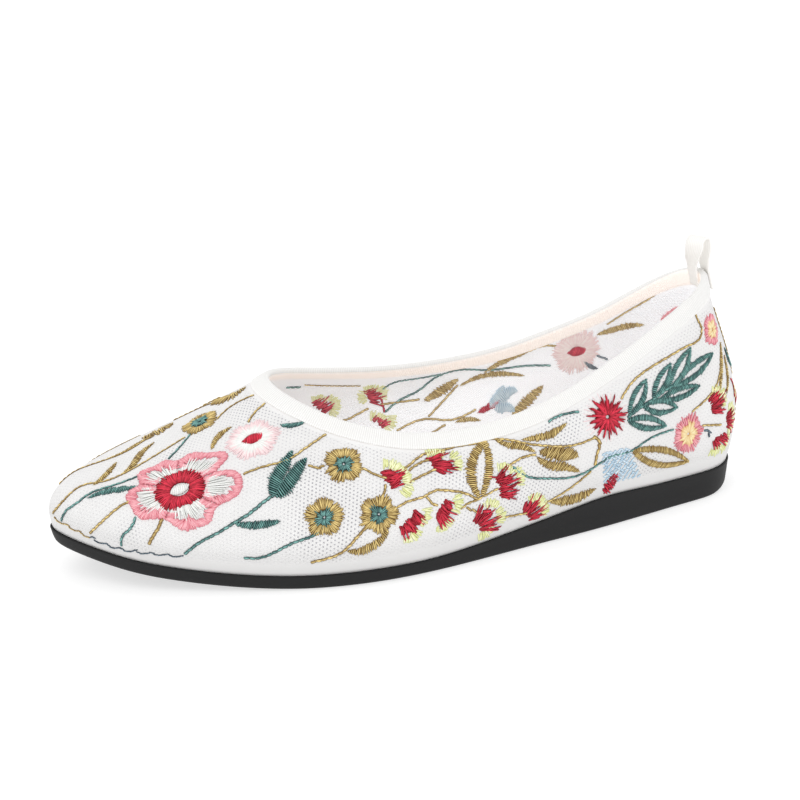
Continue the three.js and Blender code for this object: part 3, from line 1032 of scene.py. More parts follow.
def loop_leaf(colour, labels, width, border):
    """
    A leaf left open in the middle: two satin bands that bow apart by a sine and meet at its
    ends, each sewn over a darker layer that is painted shade between the stitches.
    """
    place = path(labels, satin_pitch)
    along, across = sides(place)
    share = np.linspace(0, 1, len(place))
    bow = 0.5 * (width - border) * np.sin(np.pi * share)[:, None] ** 0.9
    half = 0.5 * border * (0.35 + 0.65 * np.sin(np.pi * share)[:, None] ** 0.4)
    for side in (-1, 1):
        # First the darker layer of painted shade, then the stitches over it
        for reach, thread_width, lift, shade in (
            (0.82, satin_pitch * under_pitch, 0.05, painted_gap_shade),
            (1.0, satin_thread, 0.5, None),
        ):
            rough = half * reach * (1 + (0 if shade else 0.12) * chance.standard_normal(half.shape))
            inner = place + step_by(place, side * (bow - rough) * across + half * along * 0.4)
            outer = place + step_by(place, side * (bow + rough) * across - half * along * 0.4)
            sew(colour, inner, outer, thread_width, lift, shade)


def fern_leaves(leaves, border):
    """The open teal leaves of a fern, each from its base to its tip and of a width."""
    for base, tip, width in leaves:
        middle = ((base[0] + tip[0]) / 2, (base[1] + tip[1]) / 2)
        loop_leaf("teal", [base, middle, tip], width, border)


def spot(along, up):
    """A motif's plane: its place, the point there, and unit vectors to the heel and upwards."""
    place = chart([along, up])
    normal = wall_normal(place[0], place[1])
    to_heel = unit(np.array([1.0, 0, 0]) - normal * normal[0])
    upwards = np.cross(normal, to_heel)
    upwards *= -1 if upwards[2] < -0.2 else 1
    return place, on_wall(place), to_heel, upwards


def lay(motif, points):
    """
    Drops points of a motif's own plane, in millimetres to the heel and up, on to the wall along
    the wall's normal there, by seven Newton steps from the motif's place.
    """
    place, point, to_heel, upwards = motif
    x, y = np.moveaxis(points, -1, 0)
    placed = place + 0 * points
    for _ in range(7):
        off = on_wall(placed) - point
        u, v = slopes(placed)
        gap_x, gap_y = x - off @ to_heel, y - off @ upwards
        move = solve(u @ to_heel, v @ to_heel, u @ upwards, v @ upwards, gap_x, gap_y)
        placed = trim(placed + np.clip(move, -0.05, 0.05))
    return placed


def polar(radius, angle):
    """Points at distances from a centre and at angles in degrees."""
    angle = np.radians(angle)
    return np.stack(np.broadcast_arrays(radius * np.cos(angle), radius * np.sin(angle)), -1)


def oval(radius, angle):
    """The radius of an ellipse of two half axes at angles in degrees."""
    across, up = polar(1, angle).T
    return 1 / np.sqrt((across / radius[0]) ** 2 + (up / radius[1]) ** 2)


def sew_on(colour, motif, start, end, width, lift, shade=None):
    """Stitches between points in a motif's own plane."""
    sew(colour, lay(motif, start), lay(motif, end), width, lift, shade)


def rays(colour, motif, angles, near, far, width, lift, centre=(0, 0), shade=None):
    """Stitches out from a centre, at angles in degrees, between two distances."""
    start, end = centre + polar(near, angles), centre + polar(far, angles)
    sew_on(colour, motif, start, end, width, lift, shade)


def blade(colour, motif, line, bulge, pitch=satin_pitch):
    """
    A satin petal in a motif's own plane along a smooth line, its width a sine of a power of the
    run, so that it is fullest before its middle, sewn over a darker layer of painted shade.
    """
    line = np.array(line, float)
    knots = np.arange(len(line))
    long = np.linalg.norm(np.diff(line, axis=0), axis=1).sum()
    at = np.linspace(0, len(line) - 1, int(long / pitch) + 2)
    middle = np.stack([spline(knots, line[:, axis])(at) for axis in (0, 1)], -1)
    along = unit(np.gradient(middle, axis=0))
    over = np.stack([-along[:, 1], along[:, 0]], -1) + 0.25 * along
    half = 0.5 * bulge * (0.2 + 0.8 * np.sin(np.pi * (at / at[-1]) ** 0.72) ** 0.6)[:, None]
    # First the darker layer of painted shade, then the stitches over it
    for reach, thread_width, lift, shade in (
        (0.85, pitch * under_pitch, 0.1, painted_gap_shade),
        (1.0, satin_thread, 0.6, None),
    ):
        rough = half * reach * (1 + (0 if shade else 0.08) * chance.standard_normal(half.shape))
        sew_on(colour, motif, middle - over * rough, middle + over * rough, thread_width, lift, shade)


def round_table(pairs, angles):
    """A closed smooth curve of radius against angle in degrees, through pairs of the two."""
    pairs = np.array(pairs, float)
    wrapped = np.concatenate([pairs[-3:] - (360, 0), pairs, pairs[:3] + (360, 0)])
    first = pairs[0, 0]
    return spline(wrapped[:, 0], wrapped[:, 1])(np.mod(np.asarray(angles) - first, 360) + first)


def gold_flower(along, up, lobes, turn_by, radius=6.5, shift=(0.3, -0.9)):
    """
    A gold flower with a teal eye, every stitch running to its middle. Its edge is a circle with
    four or five lobes, each the root of a cosine. The first gold layer and the first teal layer are
    darker, painted shade between the stitches over them.
    """
    motif = spot(along, up)
    # The first layer is darker, painted shade under the stitches of the two above it
    for count, near, part, width, lift, shade in (
        (48, 1.6, 0.92, 1.0, 0.1, painted_gap_shade),
        (54, 2.2, 1.0, 0.6, 0.42, None),
        (40, 2.6, 0.9, 0.56, 0.56, None),
    ):
        angles = np.linspace(0, 360, count, endpoint=False) + chance.uniform(-2, 2, count)
        lobe = np.abs(np.cos(np.radians(lobes * (angles - turn_by) / 2))) ** 0.5
        edge_at = radius * (0.8 + 0.28 * lobe) * (1 + 0.04 * chance.standard_normal(count))
        rays("gold", motif, angles, near, edge_at * part, width, lift, shift, shade)
    reach = 3.1 + chance.uniform(-0.9, 1.5, 26)
    # A darker teal layer of painted shade, then the eye's stitches over it
    rays("teal", motif, 13.9 * np.arange(26), 0.2, 2.6, 0.9, 0.3, shift, painted_gap_shade)
    rays("teal", motif, 13.9 * np.arange(26), 0.35, reach, 0.55, 0.7, shift)


def tuft(along, up, first, second, angles, length, tips, many=14):
    """
    A brush of fine red stitches side by side from a ragged base line, at angles that change along
    it, with little fans of pale stitches at its tips, each given by its middle and its angle. Its
    first red layer is darker, painted shade under the stitches over it.
    """
    motif = spot(along, up)
    first, second = np.array(first), np.array(second)
    for x, y, angle in tips:
        aside = np.linspace(-2.9, 2.9, 13) + chance.uniform(-0.25, 0.25, 13)
        base = (x, y) + polar(aside, angle + 90) - polar(0.12 * aside**2, angle)
        fanned = angle + 10 * aside + chance.uniform(-10, 10, 13)
        half = polar(chance.uniform(0.9, 2.2, 13), fanned)
        sew_on("lime", motif, base - half * 1.3, base + half, 0.6, 0.3)
    forward = polar(1, np.mean(angles))
    # The first layer is darker, painted shade under the two layers over it
    for layer, width, lift, shade in ((0, 1.1, 0.12, 0.1), (1, 0.62, 0.45, None), (2, 0.54, 0.6, None)):
        share = (np.arange(many) + chance.uniform(0.1, 0.9, many)) / many
        base = first + (second - first) * share[:, None]
        base = base + forward * ((0.5 * layer - 0.5) + chance.uniform(-0.9, 0.6, many))[:, None]
        fanned = angles[0] + (angles[1] - angles[0]) * share + chance.uniform(-20, 20, many)
        reach = length * (0.84 + 0.36 * np.sin(np.pi * share))
        reach = reach * (chance.uniform(0.55, 1.25, many) if layer else 0.78)
        sew_on("red", motif, base, base + polar(reach, fanned), width, lift, shade)


def big_flower(along, up):
    """
    Five petals round a red ring and a white eye. The petals' edge is a closed curve of radius
    against angle; a pink fringe points inwards from it and white rays run out from the ring.
    """
    motif = spot(along, up)
    foot = 8.2
    edge_pairs = [(-38, 14.2), (-22, 19.3), (-5, 20.4), (8, 16.5), (13, 13.4), (21, 17.8)]
    edge_pairs += [(37, 17.4), (56, 15.2), (75, 13.6), (86, 12.0), (102, 14), (125, 15)]
    edge_pairs += [(142, 17), (153, 14.6), (162, 17.4), (180, 17.3), (197, 16), (212, 12.4)]
    edge_pairs += [(228, 10.6), (243, 11.2), (262, 12.6), (281, 13.2), (302, 14.4)]

    def ring_at(angle):
        """The red ring's radius: longer to the sides by a cosine, shorter below by a square."""
        across, height = polar(1, angle).T
        return 6.1 + 2.1 * np.abs(across) - 0.9 * np.clip(-height, 0, 1) ** 2

    for low, high in ((-38, 13), (13, 86), (86, 153), (153, 228), (228, 322)):
        edge = np.linspace(low, high, 160)
        radius = round_table(edge_pairs, edge)
        one_side = polar(np.linspace(foot, radius[0], 30), low)
        other_side = polar(np.linspace(radius[-1], foot, 30), high)
        outline = np.concatenate([one_side, polar(radius, edge), other_side])
        gone = run_along(outline)
        heart = polar(9.0, (low + high) / 2)
        for layer, length in enumerate((4.1, 2.8)):
            at = np.arange(0.3 * layer, gone[-1], 0.62)
            rim = np.stack([np.interp(at, gone, outline[:, axis]) for axis in (0, 1)], -1)
            inwards = unit(heart - rim)
            out = rim + inwards * chance.uniform(-0.4, 0.2, len(at))[:, None]
            into = rim + inwards * (length * chance.uniform(0.6, 1.2, len(at)))[:, None]
            sew_on("pink", motif, out, into, 0.58, 0.4 + 0.1 * layer)
        spread = np.arange(low + 6, high - 5, 3.2)
        spread = spread + chance.uniform(-1, 1, len(spread))
        far = round_table(edge_pairs, spread) - chance.uniform(1.2, 5.0, len(spread))
        rays("white", motif, spread, ring_at(spread) - 1.0, far, 0.55, 0.5)
    angles = np.arange(0, 360, 4.8)
    for layer, (near, out_by) in enumerate(((2.3, 0.0), (3.9, -1.2), (3.0, 0.9))):
        turned = angles + 1.7 * layer + chance.uniform(-2, 2, len(angles))
        far = ring_at(turned) + out_by + chance.uniform(-0.6, 0.6, len(angles))
        near_eye = polar(near, turned) * (1.15, 0.9)
        sew_on("red", motif, near_eye, polar(far, turned), 0.7, 0.6 + 0.1 * layer)
    rows = np.linspace(-2.6, 2.6, 9)
    reach = 2.2 * np.sqrt(1 - (rows / 3.1) ** 2)
    low, high = np.stack([rows - 0.7, -reach], -1), np.stack([rows + 0.7, reach], -1)
    sew_on("white", motif, low, high, 0.75, 0.75)


def pale_flower(along, up, radius=(9.2, 7.6), rim="white"):
    """A pale oval flower of fine rays, its edge waved six times, about a pointed red heart."""
    motif = spot(along, up)
    angles = np.arange(0, 360, 4.0) + chance.uniform(-1, 1, 90)
    wave = 0.06 * np.cos(6 * np.radians(angles))
    edge_at = oval(radius, angles) * (1 + wave + 0.06 * chance.standard_normal(90))
    rays("blush", motif, angles, edge_at * 0.3, edge_at, 0.58, 0.3)
    rays(rim, motif, angles + 2, 1.6, edge_at * chance.uniform(0.6, 0.85, 90), 0.56, 0.45)
    rows = np.linspace(-3.3, 2.9, 12)
    reach = 2.4 * np.sqrt(np.clip(1 - ((rows - 0.4) / 3.8) ** 2, 0.02, 1))
    low, high = np.stack([rows - 0.5, -reach - 0.1], -1), np.stack([rows + 0.9, reach], -1)
    sew_on("red", motif, low, high, 0.7, 0.6)


def starburst(along, up, radius=8.2):
    """A burst of pointed red rays of uneven length over a faint pink disc and a darker red layer of painted
    shade.
    """
    motif = spot(along, up)
    angles = np.arange(0, 360, 6.0) + chance.uniform(-2.5, 2.5, 60)
    rays("blush", motif, angles[::2], 2.0, radius * chance.uniform(0.95, 1.25, 30), 0.36, 0.1)
    angles = np.arange(0, 360, 4.5) + chance.uniform(-2, 2, 80)
    longer = 0.72 + 0.22 * np.cos(np.radians(angles * 17)) + chance.uniform(-0.12, 0.2, 80)
    # Painted shade: a darker red layer under the rays
    rays("red", motif, angles[::2], 0.5, radius * 0.62, 0.9, 0.3, shade=-0.1)
    rays("red", motif, angles, 0.5, radius * longer, 0.58, 0.6)
    rays("red", motif, angles[::2] + 2, 0.45, radius * chance.uniform(0.35, 0.62, 40), 0.72, 0.8)


def fringed_flower(along, up, radius):
    """A small oval flower, its edge waved five times: pink fringe outside, over a darker pink layer of
    painted shade, and cream rays within.
    """
    motif = spot(along, up)
    angles = np.arange(0, 360, 6.0) + chance.uniform(-2, 2, 60)
    wave = 0.05 * np.cos(5 * np.radians(angles))
    edge_at = oval(radius, angles) * (1 + wave + 0.05 * chance.standard_normal(60))
    # Painted shade: a darker pink layer under the fringe
    rays("pink", motif, angles, edge_at * 0.35, edge_at * 0.9, 0.8, 0.12, shade=painted_gap_shade)
    rays("pink", motif, angles, edge_at * 0.45, edge_at, 0.56, 0.4)
    rays("cream", motif, angles + 3, 0.3, edge_at * chance.uniform(0.45, 0.78, 60), 0.56, 0.55)


def patch(colour, along, up, corners, pitch=0.85, stitch=2.0):
    """A four-cornered field of small slanting stitches, in rows that lie half a stitch apart."""
    motif = spot(along, up)
    corners = np.array(corners, float)
    rows = int(np.linalg.norm(corners[3] - corners[0]) / pitch)
    across = int(np.linalg.norm(corners[1] - corners[0]) / (stitch * 0.75))
    v, u = np.meshgrid((np.arange(rows) + 0.5) / rows, (np.arange(across) + 0.5) / across, indexing="ij")
    u = u + 0.5 / across * (np.arange(rows)[:, None] % 2) - 0.25 / across
    u = (u + chance.uniform(-0.02, 0.02, u.shape)).ravel()
    v = (v + chance.uniform(-0.01, 0.01, v.shape)).ravel()
    top = corners[0] + (corners[1] - corners[0]) * u[:, None]
    low = corners[3] + (corners[2] - corners[3]) * u[:, None]
    middle = top + (low - top) * v[:, None]
    lean = chance.choice([-0.5, 0.35, 0.6], len(middle))
    half = 0.5 * stitch * np.stack([np.cos(lean), np.sin(lean)], -1)
    sew_on(colour, motif, middle - half, middle + half, 0.85, 0.25)


# Toe and vamp, outer side
stem("gold", [(3, 6), (4, 13), (3, 21), (4, 28), (4, 35), (3, 46), (2, 59)])
stem("gold", [(-2, 14), (-3, 19), (-2, 25), (-1, 33), (-1, 40), (-2, 46)])
satin("gold", [(-1, 33), (-1, 38), (-2, 44), (-2, 49)], 1.9)
satin("gold", [(-3.4, 45.5), (-3.4, 50.5), (-4.4, 56.5)], 8.6, 0.1, sharp=0.35)
satin("gold", [(4, 25), (3, 29), (1, 35)], 3.0)
satin("gold", [(4, 35), (3, 39), (1, 44), (0, 49)], 3.2)
stem("teal", [(7, 5), (7, 10), (7, 15), (6, 21), (6, 30), (6, 40)])
satin("teal", [(7, 20), (7, 26), (8, 31), (9, 36)], 2.6)
stem("teal", [(5, 50), (4, 54), (2, 61)])
stem("gold", [(18, 5), (18, 11), (16, 18), (14, 24), (13, 29)])
stem("teal", [(30, 4), (28, 8), (26, 14), (21, 22)])
stem("gold", [(37, 8), (35, 12), (31, 19), (26, 26)], 1.1)

# A festoon of nine small dips along the toe's edge, gold and then slate
hang = np.linspace(0, 1, 61)
dip = np.abs(np.sin(np.pi * 9 * hang)) ** 0.6
edge_line = np.column_stack([4 + 46 * hang, 4.6 + 1.0 * np.cos(2 * np.pi * hang) - 1.1 * dip])
stem("gold", edge_line[:20], 0.5, 1.2)
stem("slate", edge_line[19:], 0.5, 1.2)

# The large flower and what stands over it on the vamp, up to the tulip
big_flower(15, 44)
satin("gold", [(8, 63), (6, 68), (6, 73)], 2.6)
gold_flower(0.6, 67.4, 5, 20, 6.7, (-1.6, 0.5))
satin("gold", [(-6.5, 72), (-3, 78), (-3.5, 84.5)], 8.5, 0.1, sharp=0.5)
stem("gold", [(-7, 56), (-7.4, 62), (-7, 67), (-5, 72)])
stem("gold", [(-10, 66), (-11, 69), (-10, 73)])
stem("gold", [(2, 71), (1, 76), (1, 81), (2, 86)])
stem("gold", [(8, 78), (7, 82), (7, 87)])
pale_flower(13, 74)
satin("teal", [(17, 83), (21, 84), (25, 86)], 2.0, 1.2)
stem("gold", [(21, 60), (24, 66), (28, 70), (30, 74), (36, 82)])
stem("teal", [(50, 6), (49, 14), (47, 23), (44, 31), (41, 40), (38, 48), (37, 54)], 1.1)
satin("teal", [(44, 32), (48, 31), (53, 31), (57, 34)], 3.4)
bud = spot(32, 63)
blade("teal", bud, [(-4.6, -6.0), (-2.6, -0.9), (0.8, 3.4), (4.4, 8.0)], 5.8, 0.76)
blade("teal", bud, [(-3.2, -6.2), (1.2, -2.7), (4.5, 0.8), (8.3, 4.5)], 6.0, 0.76)

# Ball of the foot, outer side
gold_flower(48, 70, 4, 45)
gold_flower(68, 38, 5, 85)
gold_flower(91, 34, 5, 60)
stem("gold", [(36, 69), (39, 68), (42, 69)])
stem("gold", [(58, 66), (65, 62), (73, 58)])
stem("gold", [(75, 55), (78, 51), (82, 45)])
stem("teal", [(69, 7), (73, 7), (77, 10), (79, 16), (81, 22), (75, 32)], 1.0)
stem("gold", [(92, 5), (96, 6), (100, 8), (101, 11), (100, 16), (98, 22)], 1.0)
satin("gold", [(102, 9), (106, 8), (109, 9), (111, 13), (109, 18)], 3.6, 0.2)
tuft(77, 56, (-3.2, 3.6), (-0.6, -3.0), (-2, 28), 5.2, [(1.0, 5.8, 60), (5.0, -3.2, -25), (4.6, 2.4, 25)])
tuft(96, 57, (-4.0, 2.6), (-1.6, -2.0), (8, -16), 6.0, [(-1.0, 4.8, 80), (6.2, 0.6, 10)])
tuft(115, 20, (-3.3, -1.4), (2.6, 3.6), (-66, -48), 5.6, [(1.0, -6.0, -62), (6.0, 0.4, -30)])
tuft(126, 22, (-3.1, -2.0), (0.9, 4.0), (-60, -42), 5.6, [(0.4, -5.8, -62), (5.6, 1.4, -10)])
stem("gold", [(78, 60), (81, 63), (85, 64.4), (93, 63), (100, 61.8), (108, 59.6), (118, 56.6)])
stem("gold", [(81, 59), (84, 61), (89, 61)])
stem("gold", [(86, 52), (90, 54), (95, 55)])
stem("gold", [(98, 32), (99, 37), (104, 38), (106, 40), (112, 38), (124, 32), (138, 23)])
stem("gold", [(105, 38), (112, 32), (118, 28)])

# Waist, outer side
tuft(148, 26, (-4.2, 2.6), (-1.8, -4.8), (24, -24), 6.4, [(0.6, 5.6, 65), (5.8, 1.4, 15)])
tuft(152, 9, (-4.8, 0.8), (-1.0, -4.0), (58, -12), 6.8, [(2.2, 6.0, 70), (6.2, 0.2, 10), (0.4, -6.0, -60)])
stem("red", [(147, 14), (150, 13)], 1.4)
tuft(172.5, 4.6, (-3.6, 1.6), (-0.8, -3.0), (66, 12), 6.0, [(1.6, 5.2, 62), (5.0, 0.6, 15)], 11)
stem("red", [(130, 37), (136, 34)], 0.6)
stem("gold", [(140, 23), (137, 22.6), (134.5, 21.6), (140, 17.7), (146, 13.4)])
stem("gold", [(138, 23), (142, 24), (145, 25)])
stem("gold", [(160, 7), (165, 6), (170, 5)])
satin("gold", [(138, 24), (128, 33), (118.5, 43), (113.5, 51), (116, 57.5)], 4.0, 0.15, 0.35)
satin("gold", [(116, 58), (121, 50.5), (131, 36.5), (139, 24)], 3.3, -0.15, 0.35)
satin("gold", [(122, 56), (129, 51), (140, 45), (152, 37)], 2.7, 0.4)
stem("gold", [(118, 57.5), (131, 51.5), (145, 43.5), (157, 37), (168, 31.5), (181, 27), (190, 26)])
satin("gold", [(139, 48), (149, 44), (158, 41), (166, 41)], 2.9, 0.4)
stem("gold", [(139, 37), (145, 38), (154, 35)])
satin("gold", [(155, 36), (166, 30), (174, 26), (184, 21)], 6.0, 0.5)
satin("gold", [(156, 33), (167, 25), (178, 19.5), (188, 14)], 3.6, 0.5)
stem("gold", [(188, 27), (192, 24), (194, 19), (195, 14)], 1.2)
trail = [(142, 36), (151, 29), (160, 23), (173, 17), (185, 13), (194, 13), (202, 15), (210, 15)]
stem("teal", trail + [(218, 18), (230, 20)])
stem("teal", [(153, 47.6), (157.7, 47), (162.6, 45.7), (173, 42)])
stem("gold", [(176, 6), (185, 8), (190, 10), (194, 12)])
satin("gold", [(179, 6), (185, 4.2), (191, 3.2), (198, 4.2)], 4.4, 0.3)

# Quarter and heel, outer side
starburst(193, 32)
patch("sky", 206, 10, [(-6.2, 6.9), (4.6, 6.4), (10.4, -6.2), (-5.0, -5.2)])
satin("red", [(206.5, 7.4), (204.4, 4.4), (202, 1.2)], 5.2, 0.1, sharp=0.35)
loop_leaf("gold", [(212, 15), (220, 12), (229, 9), (238, 6)], 8.6, 3.0)
fern = [(205, 28), (213, 31), (219, 33), (228, 36), (233, 36)]
stem("teal", fern, 1.2)
fern_leaves(
    [
        ((206, 29), (213, 40), 6.6),
        ((218, 33), (227, 44), 6.4),
        ((226, 35), (239, 48), 6.8),
        ((229, 36), (251, 44), 6.6),
        ((222, 32), (242, 34), 6.0),
        ((213, 31), (231, 28), 7.0),
        ((206, 27), (226, 22), 6.4),
    ],
    2.7,
)
trail = [(199, 36), (204, 40), (216, 44), (228, 47), (238, 49), (245, 50.6)]
stem("gold", trail + [(247, 53), (246, 57), (246, 61), (247.4, 63)])
fringed_flower(237, 17, (6.4, 7.8))
fringed_flower(254, 52, (5.0, 5.8))
stem("gold", [(238, 25), (246, 29), (251, 33), (253, 36)])
stem("gold", [(243, 19), (248, 18), (252, 17)])
satin("gold", [(258, 46), (256, 41), (254, 36), (252, 30)], 2.6, 0.3)
satin("gold", [(258.5, 41), (258, 34), (255.5, 28)], 2.2, 0.3)
stem("slate", [(244, 17), (246, 16), (246, 14)])
tuft(250, 26, (-3.4, 2.0), (-1.6, -4.0), (34, -6), 7.0, [(1.0, 4.8, 60), (4.6, 1.0, 10)], 11)
tuft(257, 18, (-2.4, 2.2), (-1.6, -3.2), (30, -40), 5.4, [(2.0, 3.4, 45), (2.0, -4.0, -50)], 10)
tuft(252, 9.5, (-4.0, 2.4), (2.4, 3.6), (-58, -44), 6.2, [(-1.6, -2.8, -80), (4.4, -1.8, -40)], 10)
stem("red", [(260, 32), (262, 28), (262, 24)])

# Inner side, as the reverse of it shows through the collar's opening
stem("teal", [(-39, 76), (-47, 74)], 1.6)
stem("gold", [(-47, 76), (-60, 71), (-82, 63)])
tips = [(-1.0, 4.4, 80), (4.8, 2.0, 30), (5.2, -2.6, -20)]
tuft(-80, 48, (-4.4, 1.6), (1.2, -3.8), (30, 40), 4.6, tips, 12)
tips = [(0.0, 4.2, 80), (-4.2, -1.0, 190), (4.6, 1.2, 15)]
tuft(-98, 50, (-3.4, 2.2), (-0.4, -3.4), (25, -15), 4.8, tips, 12)
stem("red", [(-106, 45), (-113, 38), (-120, 31)])
stem("gold", [(-107, 29), (-109, 36)])
stem("teal", [(-99, 53), (-100, 58), (-108, 57), (-124, 54)])
stem("teal", [(-120, 31), (-119, 39), (-122, 45), (-122, 51), (-132, 53), (-152, 45), (-174, 38), (-192, 32)])
stem("gold", [(-112, 38), (-129, 37)])
tuft(-125, 24, (-3.4, 2.2), (0.6, -1.2), (30, 10), 2.6, [(-1.0, 3.2, 60), (3.4, -0.6, -30)], 8)
stem("gold", [(-134, 19), (-143, 23), (-154, 20), (-164, 22)])
satin("gold", [(-133, 35), (-136, 41), (-138, 46)], 4.6, 0.4)
satin("gold", [(-152, 44), (-163, 46), (-173, 45)], 3.2, 0.4)
stem("gold", [(-173, 45), (-182, 44), (-190, 41)])
satin("gold", [(-144, 40), (-150, 42), (-165, 38), (-179, 32)], 2.6, 0.4)
satin("gold", [(-158, 18), (-163, 18), (-169, 16)], 2.2, 0.3)
stem("gold", [(-150, 15), (-154, 18)])
satin("gold", [(-183, 14), (-188, 19), (-192.5, 23.5)], 4.4, 0.3)
satin("gold", [(-214, 41), (-222, 42.4), (-230, 43.6), (-238, 43.8)], 3.4, 0.4)
stem("gold", [(-143, 24), (-143, 32), (-142, 41)])
pale_flower(-204, 35, (9.4, 9.4), "blush")
moth = spot(-175, 22)
blade("sky", moth, [(-4.6, -1.4), (-1.6, 2.0), (1.0, 5.8)], 4.0)
blade("sky", moth, [(-0.8, 0.0), (2.4, 3.4), (5.8, 3.4)], 5.2)
blade("sky", moth, [(-2.6, -2.6), (1.2, -2.0), (4.2, -4.0)], 5.0)
satin("red", [(-166, 20), (-169, 21), (-173, 23)], 3.0, 0.1)
stem("slate", [(-216, 32), (-222, 30)])
satin("slate", [(-210, 30), (-214, 27.7), (-218, 26.4)], 1.8, 1.0)
stem("gold", [(-218, 45), (-231, 51), (-240, 55), (-247, 59.6)])
satin("pink", [(-246, 46), (-250, 49), (-254, 52.4)], 2.4)

# Inner side of the toe and the ball, which the photograph does not show
big_flower(-48, 23)
stem("gold", [(-8, 5), (-9, 12), (-9, 20), (-8, 28)])
stem("teal", [(-14, 5), (-15, 12), (-16, 19), (-18, 25)])
stem("gold", [(-24, 4), (-24, 10), (-25, 16)])
stem("teal", [(-46, 5), (-46, 9), (-46, 13)])
satin("gold", [(-9, 28), (-10, 34), (-12, 41)], 3.0)
stem("gold", [(-22, 54), (-21, 62), (-20, 70)])
satin("gold", [(-20, 60), (-16, 64), (-14, 69)], 2.8)
gold_flower(-67, 45, 5, 30)
gold_flower(-73, 26, 4, 45)
gold_flower(-91, 17, 5, 10)
stem("teal", [(-57, 5), (-59, 10), (-63, 16), (-69, 20)], 1.0)
satin("teal", [(-60, 11), (-58, 15), (-58, 20)], 3.0)
stem("gold", [(-68, 39), (-70, 36), (-72, 33)])
stem("gold", [(-80, 28), (-85, 32), (-92, 33), (-99, 30), (-107, 29)])
stem("gold", [(-80, 42), (-79, 38), (-77, 32)])
stem("gold", [(-82, 5), (-86, 6), (-89, 11)])
satin("gold", [(-104, 6), (-108, 8), (-112, 12), (-112, 17)], 3.0, 0.2)

# Inner side of the waist and the heel, low down, and the back of the heel
tuft(-116, 12, (3.2, 2.6), (1.0, -3.4), (150, 200), 5.4, [(-3.0, 3.4, 130), (-4.6, -2.0, 190)])
tuft(-140, 9, (3.2, 2.6), (1.0, -3.4), (150, 200), 5.0, [(-3.0, 3.0, 130), (-4.4, -1.6, 190)], 10)
stem("gold", [(-108, 10), (-116, 6), (-128, 5), (-140, 6), (-150, 8)])
stem("teal", [(-150, 8), (-162, 7), (-174, 6), (-186, 8), (-198, 12), (-212, 14), (-226, 14)])
loop_leaf("gold", [(-188, 9), (-196, 5), (-204, 4), (-212, 5)], 7.4, 2.8)
satin("gold", [(-152, 8), (-158, 11), (-166, 11)], 3.2, 0.4)
starburst(-238, 25, 7.6)
inner_leaves = [((-226, 14), (-238, 13), 5.0), ((-220, 14), (-226, 24), 5.0)]
fern_leaves(inner_leaves + [((-222, 14), (-230, 5), 4.8)], 2.5)
fringed_flower(-262, 34, (5.6, 6.2))
stem("gold", [(-260, 6), (-261, 16), (-262, 27)])
stem("gold", [(-262, 41), (-264, 50), (-263, 58)])
satin("gold", [(-260, 12), (-256, 17), (-254, 22)], 3.0)
tuft(-252, 10, (-2.4, 2.2), (1.6, 2.6), (-100, -70), 4.4, [(-2.0, -2.8, -110), (2.4, -2.2, -60)], 8)
tuft(267, 22, (-2.2, -2.0), (2.2, -2.0), (110, 70), 4.4, [(-1.6, 3.2, 110), (1.8, 3.2, 70)], 9)
stem("gold", [(267, 6), (267, 13), (267, 20)])
stem("gold", [(268, 30), (267, 40), (265, 50), (264, 58)])
satin("teal", [(267, 34), (263, 38), (261, 43)], 2.8)
satin("teal", [(267, 40), (270, 44), (272, 48)], 2.8)


def thread_mesh(rows, inward):
    """
    Threads as closed four-sided spindles. Each is a straight run between two places, sampled at
    five shares of it; it rises from the wall by a half sine and its ends sink under the surface.
    """
    sink, top, bottom = 0.12, 0.24, 0.3
    at = np.array([0, 0.16, 0.5, 0.84, 1])[None, :, None]
    place = trim(rows[:, None, 0:2] * (1 - at) + rows[:, None, 2:4] * at)
    point = on_wall(place)
    normal = wall_normal(place[..., 0], place[..., 1])
    if inward:
        point = point - normal * upper_wall
        normal = -normal
    rise = np.sin(np.pi * at) ** 0.6
    line = point + normal * (rows[:, 5, None, None] * rise - sink)
    along = np.gradient(line, axis=1)
    over = np.cross(normal, along)
    over /= np.linalg.norm(over, axis=-1, keepdims=True) + 1e-9
    aside = over[:, 1:4] * rows[:, 4, None, None] / 2
    normal, middle = normal[:, 1:4], line[:, 1:4]
    rings = [middle + aside, middle + normal * top, middle - aside, middle - normal * bottom]
    rings = np.stack(rings, 2).reshape(len(rows), 12, 3)
    points = np.concatenate([rings, line[:, :1], line[:, 4:]], 1)
    quads = grid_faces(3, 4, round_columns=True)
    tips = [[12, (k + 1) % 4, k] for k in range(4)] + [[13, 8 + k, 8 + (k + 1) % 4] for k in range(4)]
    first = (points.shape[1] * np.arange(len(rows)))[:, None, None]
    faces = (first + quads).reshape(-1, 4).tolist()
    faces += (first + np.array(tips)).reshape(-1, 3).tolist()
    return points.reshape(-1, 3), faces


def ink(red, green, blue):
    """A colour from its display values, 0 to 255, to the shader's linear ones."""
    return tuple((value / 255) ** 2.2 for value in (red, green, blue)) + (1,)


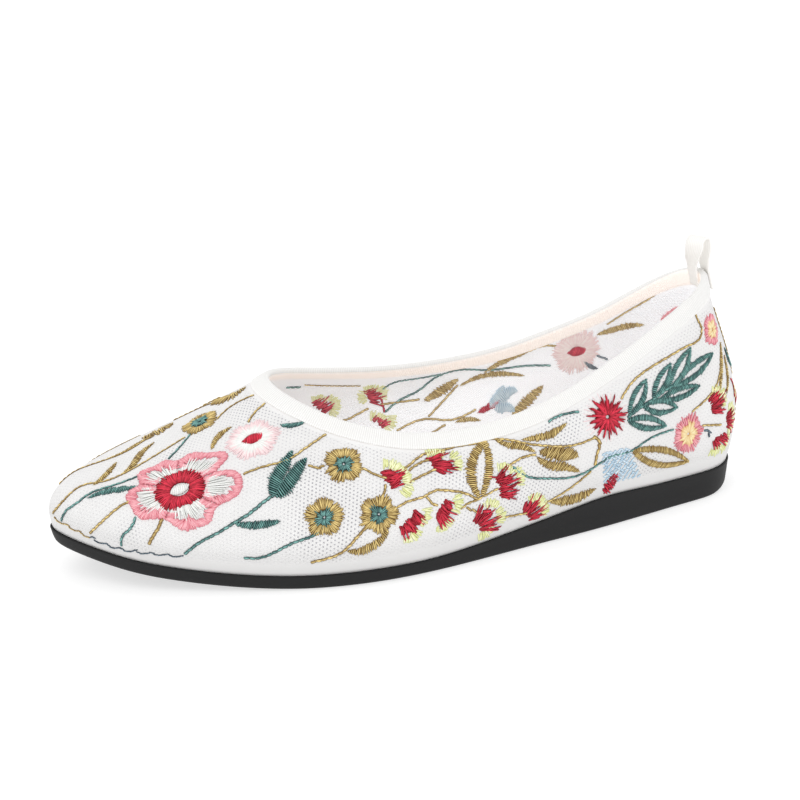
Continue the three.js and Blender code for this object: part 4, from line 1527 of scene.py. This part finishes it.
def thread(dark, light, painted_glow=0.0):
    """Rayon thread between two tones, each stitch at its own mixture, with a soft sheen and a painted glow
    when one is given.
    """

    def build(start):
        """The shader's inputs: the two tones mixed by each stitch's shade, which holds painted highlight and
        shade, and the tone glowing as painted light.
        """
        shade = start.node("ShaderNodeAttribute", {"attribute_name": "shade"}, output="Fac")
        tone = shade.mix(ink(*dark), ink(*light))
        shine = {"Roughness": 0.5, "Specular IOR Level": 0.3}
        # Painted light: the thread's tone glows by the strength given
        return {"Base Color": tone, "Emission Color": tone, "Emission Strength": painted_glow, **shine}

    return build


def paler(colour, share=0.3):
    """A colour drawn towards a warm grey, as it looks from the back of the cloth."""
    return tuple(value + (warm - value) * share for value, warm in zip(colour, (206, 198, 190)))


# Each colour's dark and light tone. A stitch's shade mixes them: by chance, times the painted highlight and
# painted shade across each thread.
TONES = {
    "gold": ((106, 74, 28), (255, 228, 152)),
    "teal": ((10, 38, 46), (134, 190, 182)),
    "slate": ((40, 52, 66), (120, 138, 150)),
    "red": ((108, 4, 20), (244, 62, 86)),
    "pink": ((214, 108, 124), (255, 198, 204)),
    "blush": ((240, 206, 210), (255, 247, 245)),
    "white": ((222, 224, 220), (255, 255, 253)),
    "lime": ((214, 220, 134), (255, 255, 222)),
    "cream": ((226, 176, 110), (255, 246, 200)),
    "sky": ((156, 188, 210), (226, 241, 250)),
}
# Painted highlight along the top of a thread, and painted shade down its flanks and at its ends
painted_thread_shading = np.outer([0.8, 1.25, 0.8], [0.04, 1.0, 0.04, 0.0]).ravel()
painted_thread_shading = np.concatenate([painted_thread_shading, [0.1, 0.1]])
for colour, (dark, light) in TONES.items():
    rows = np.concatenate(sewn[colour])
    # Each stitch's shade by chance, times the painted highlight and shade across it
    lit = np.clip(0.26 + 0.86 * rows[:, 6, None], 0, 1.2) * painted_thread_shading
    points, faces = thread_mesh(rows, inward=False)
    yarn = finish(colour + "_thread", thread(dark, light))
    mesh_piece("stitches_" + colour, points, faces, yarn, extra={"shade": lit.ravel()})
    points, faces = thread_mesh(rows, inward=True)
    # Painted light: the threads on the inner face glow faintly, brightening them in the shoe's shade
    yarn = finish(colour + "_back", thread(paler(dark), paler(light), painted_glow=0.16))
    mesh_piece("stitches_" + colour + "_inside", points, faces, yarn, extra={"shade": lit.ravel()})
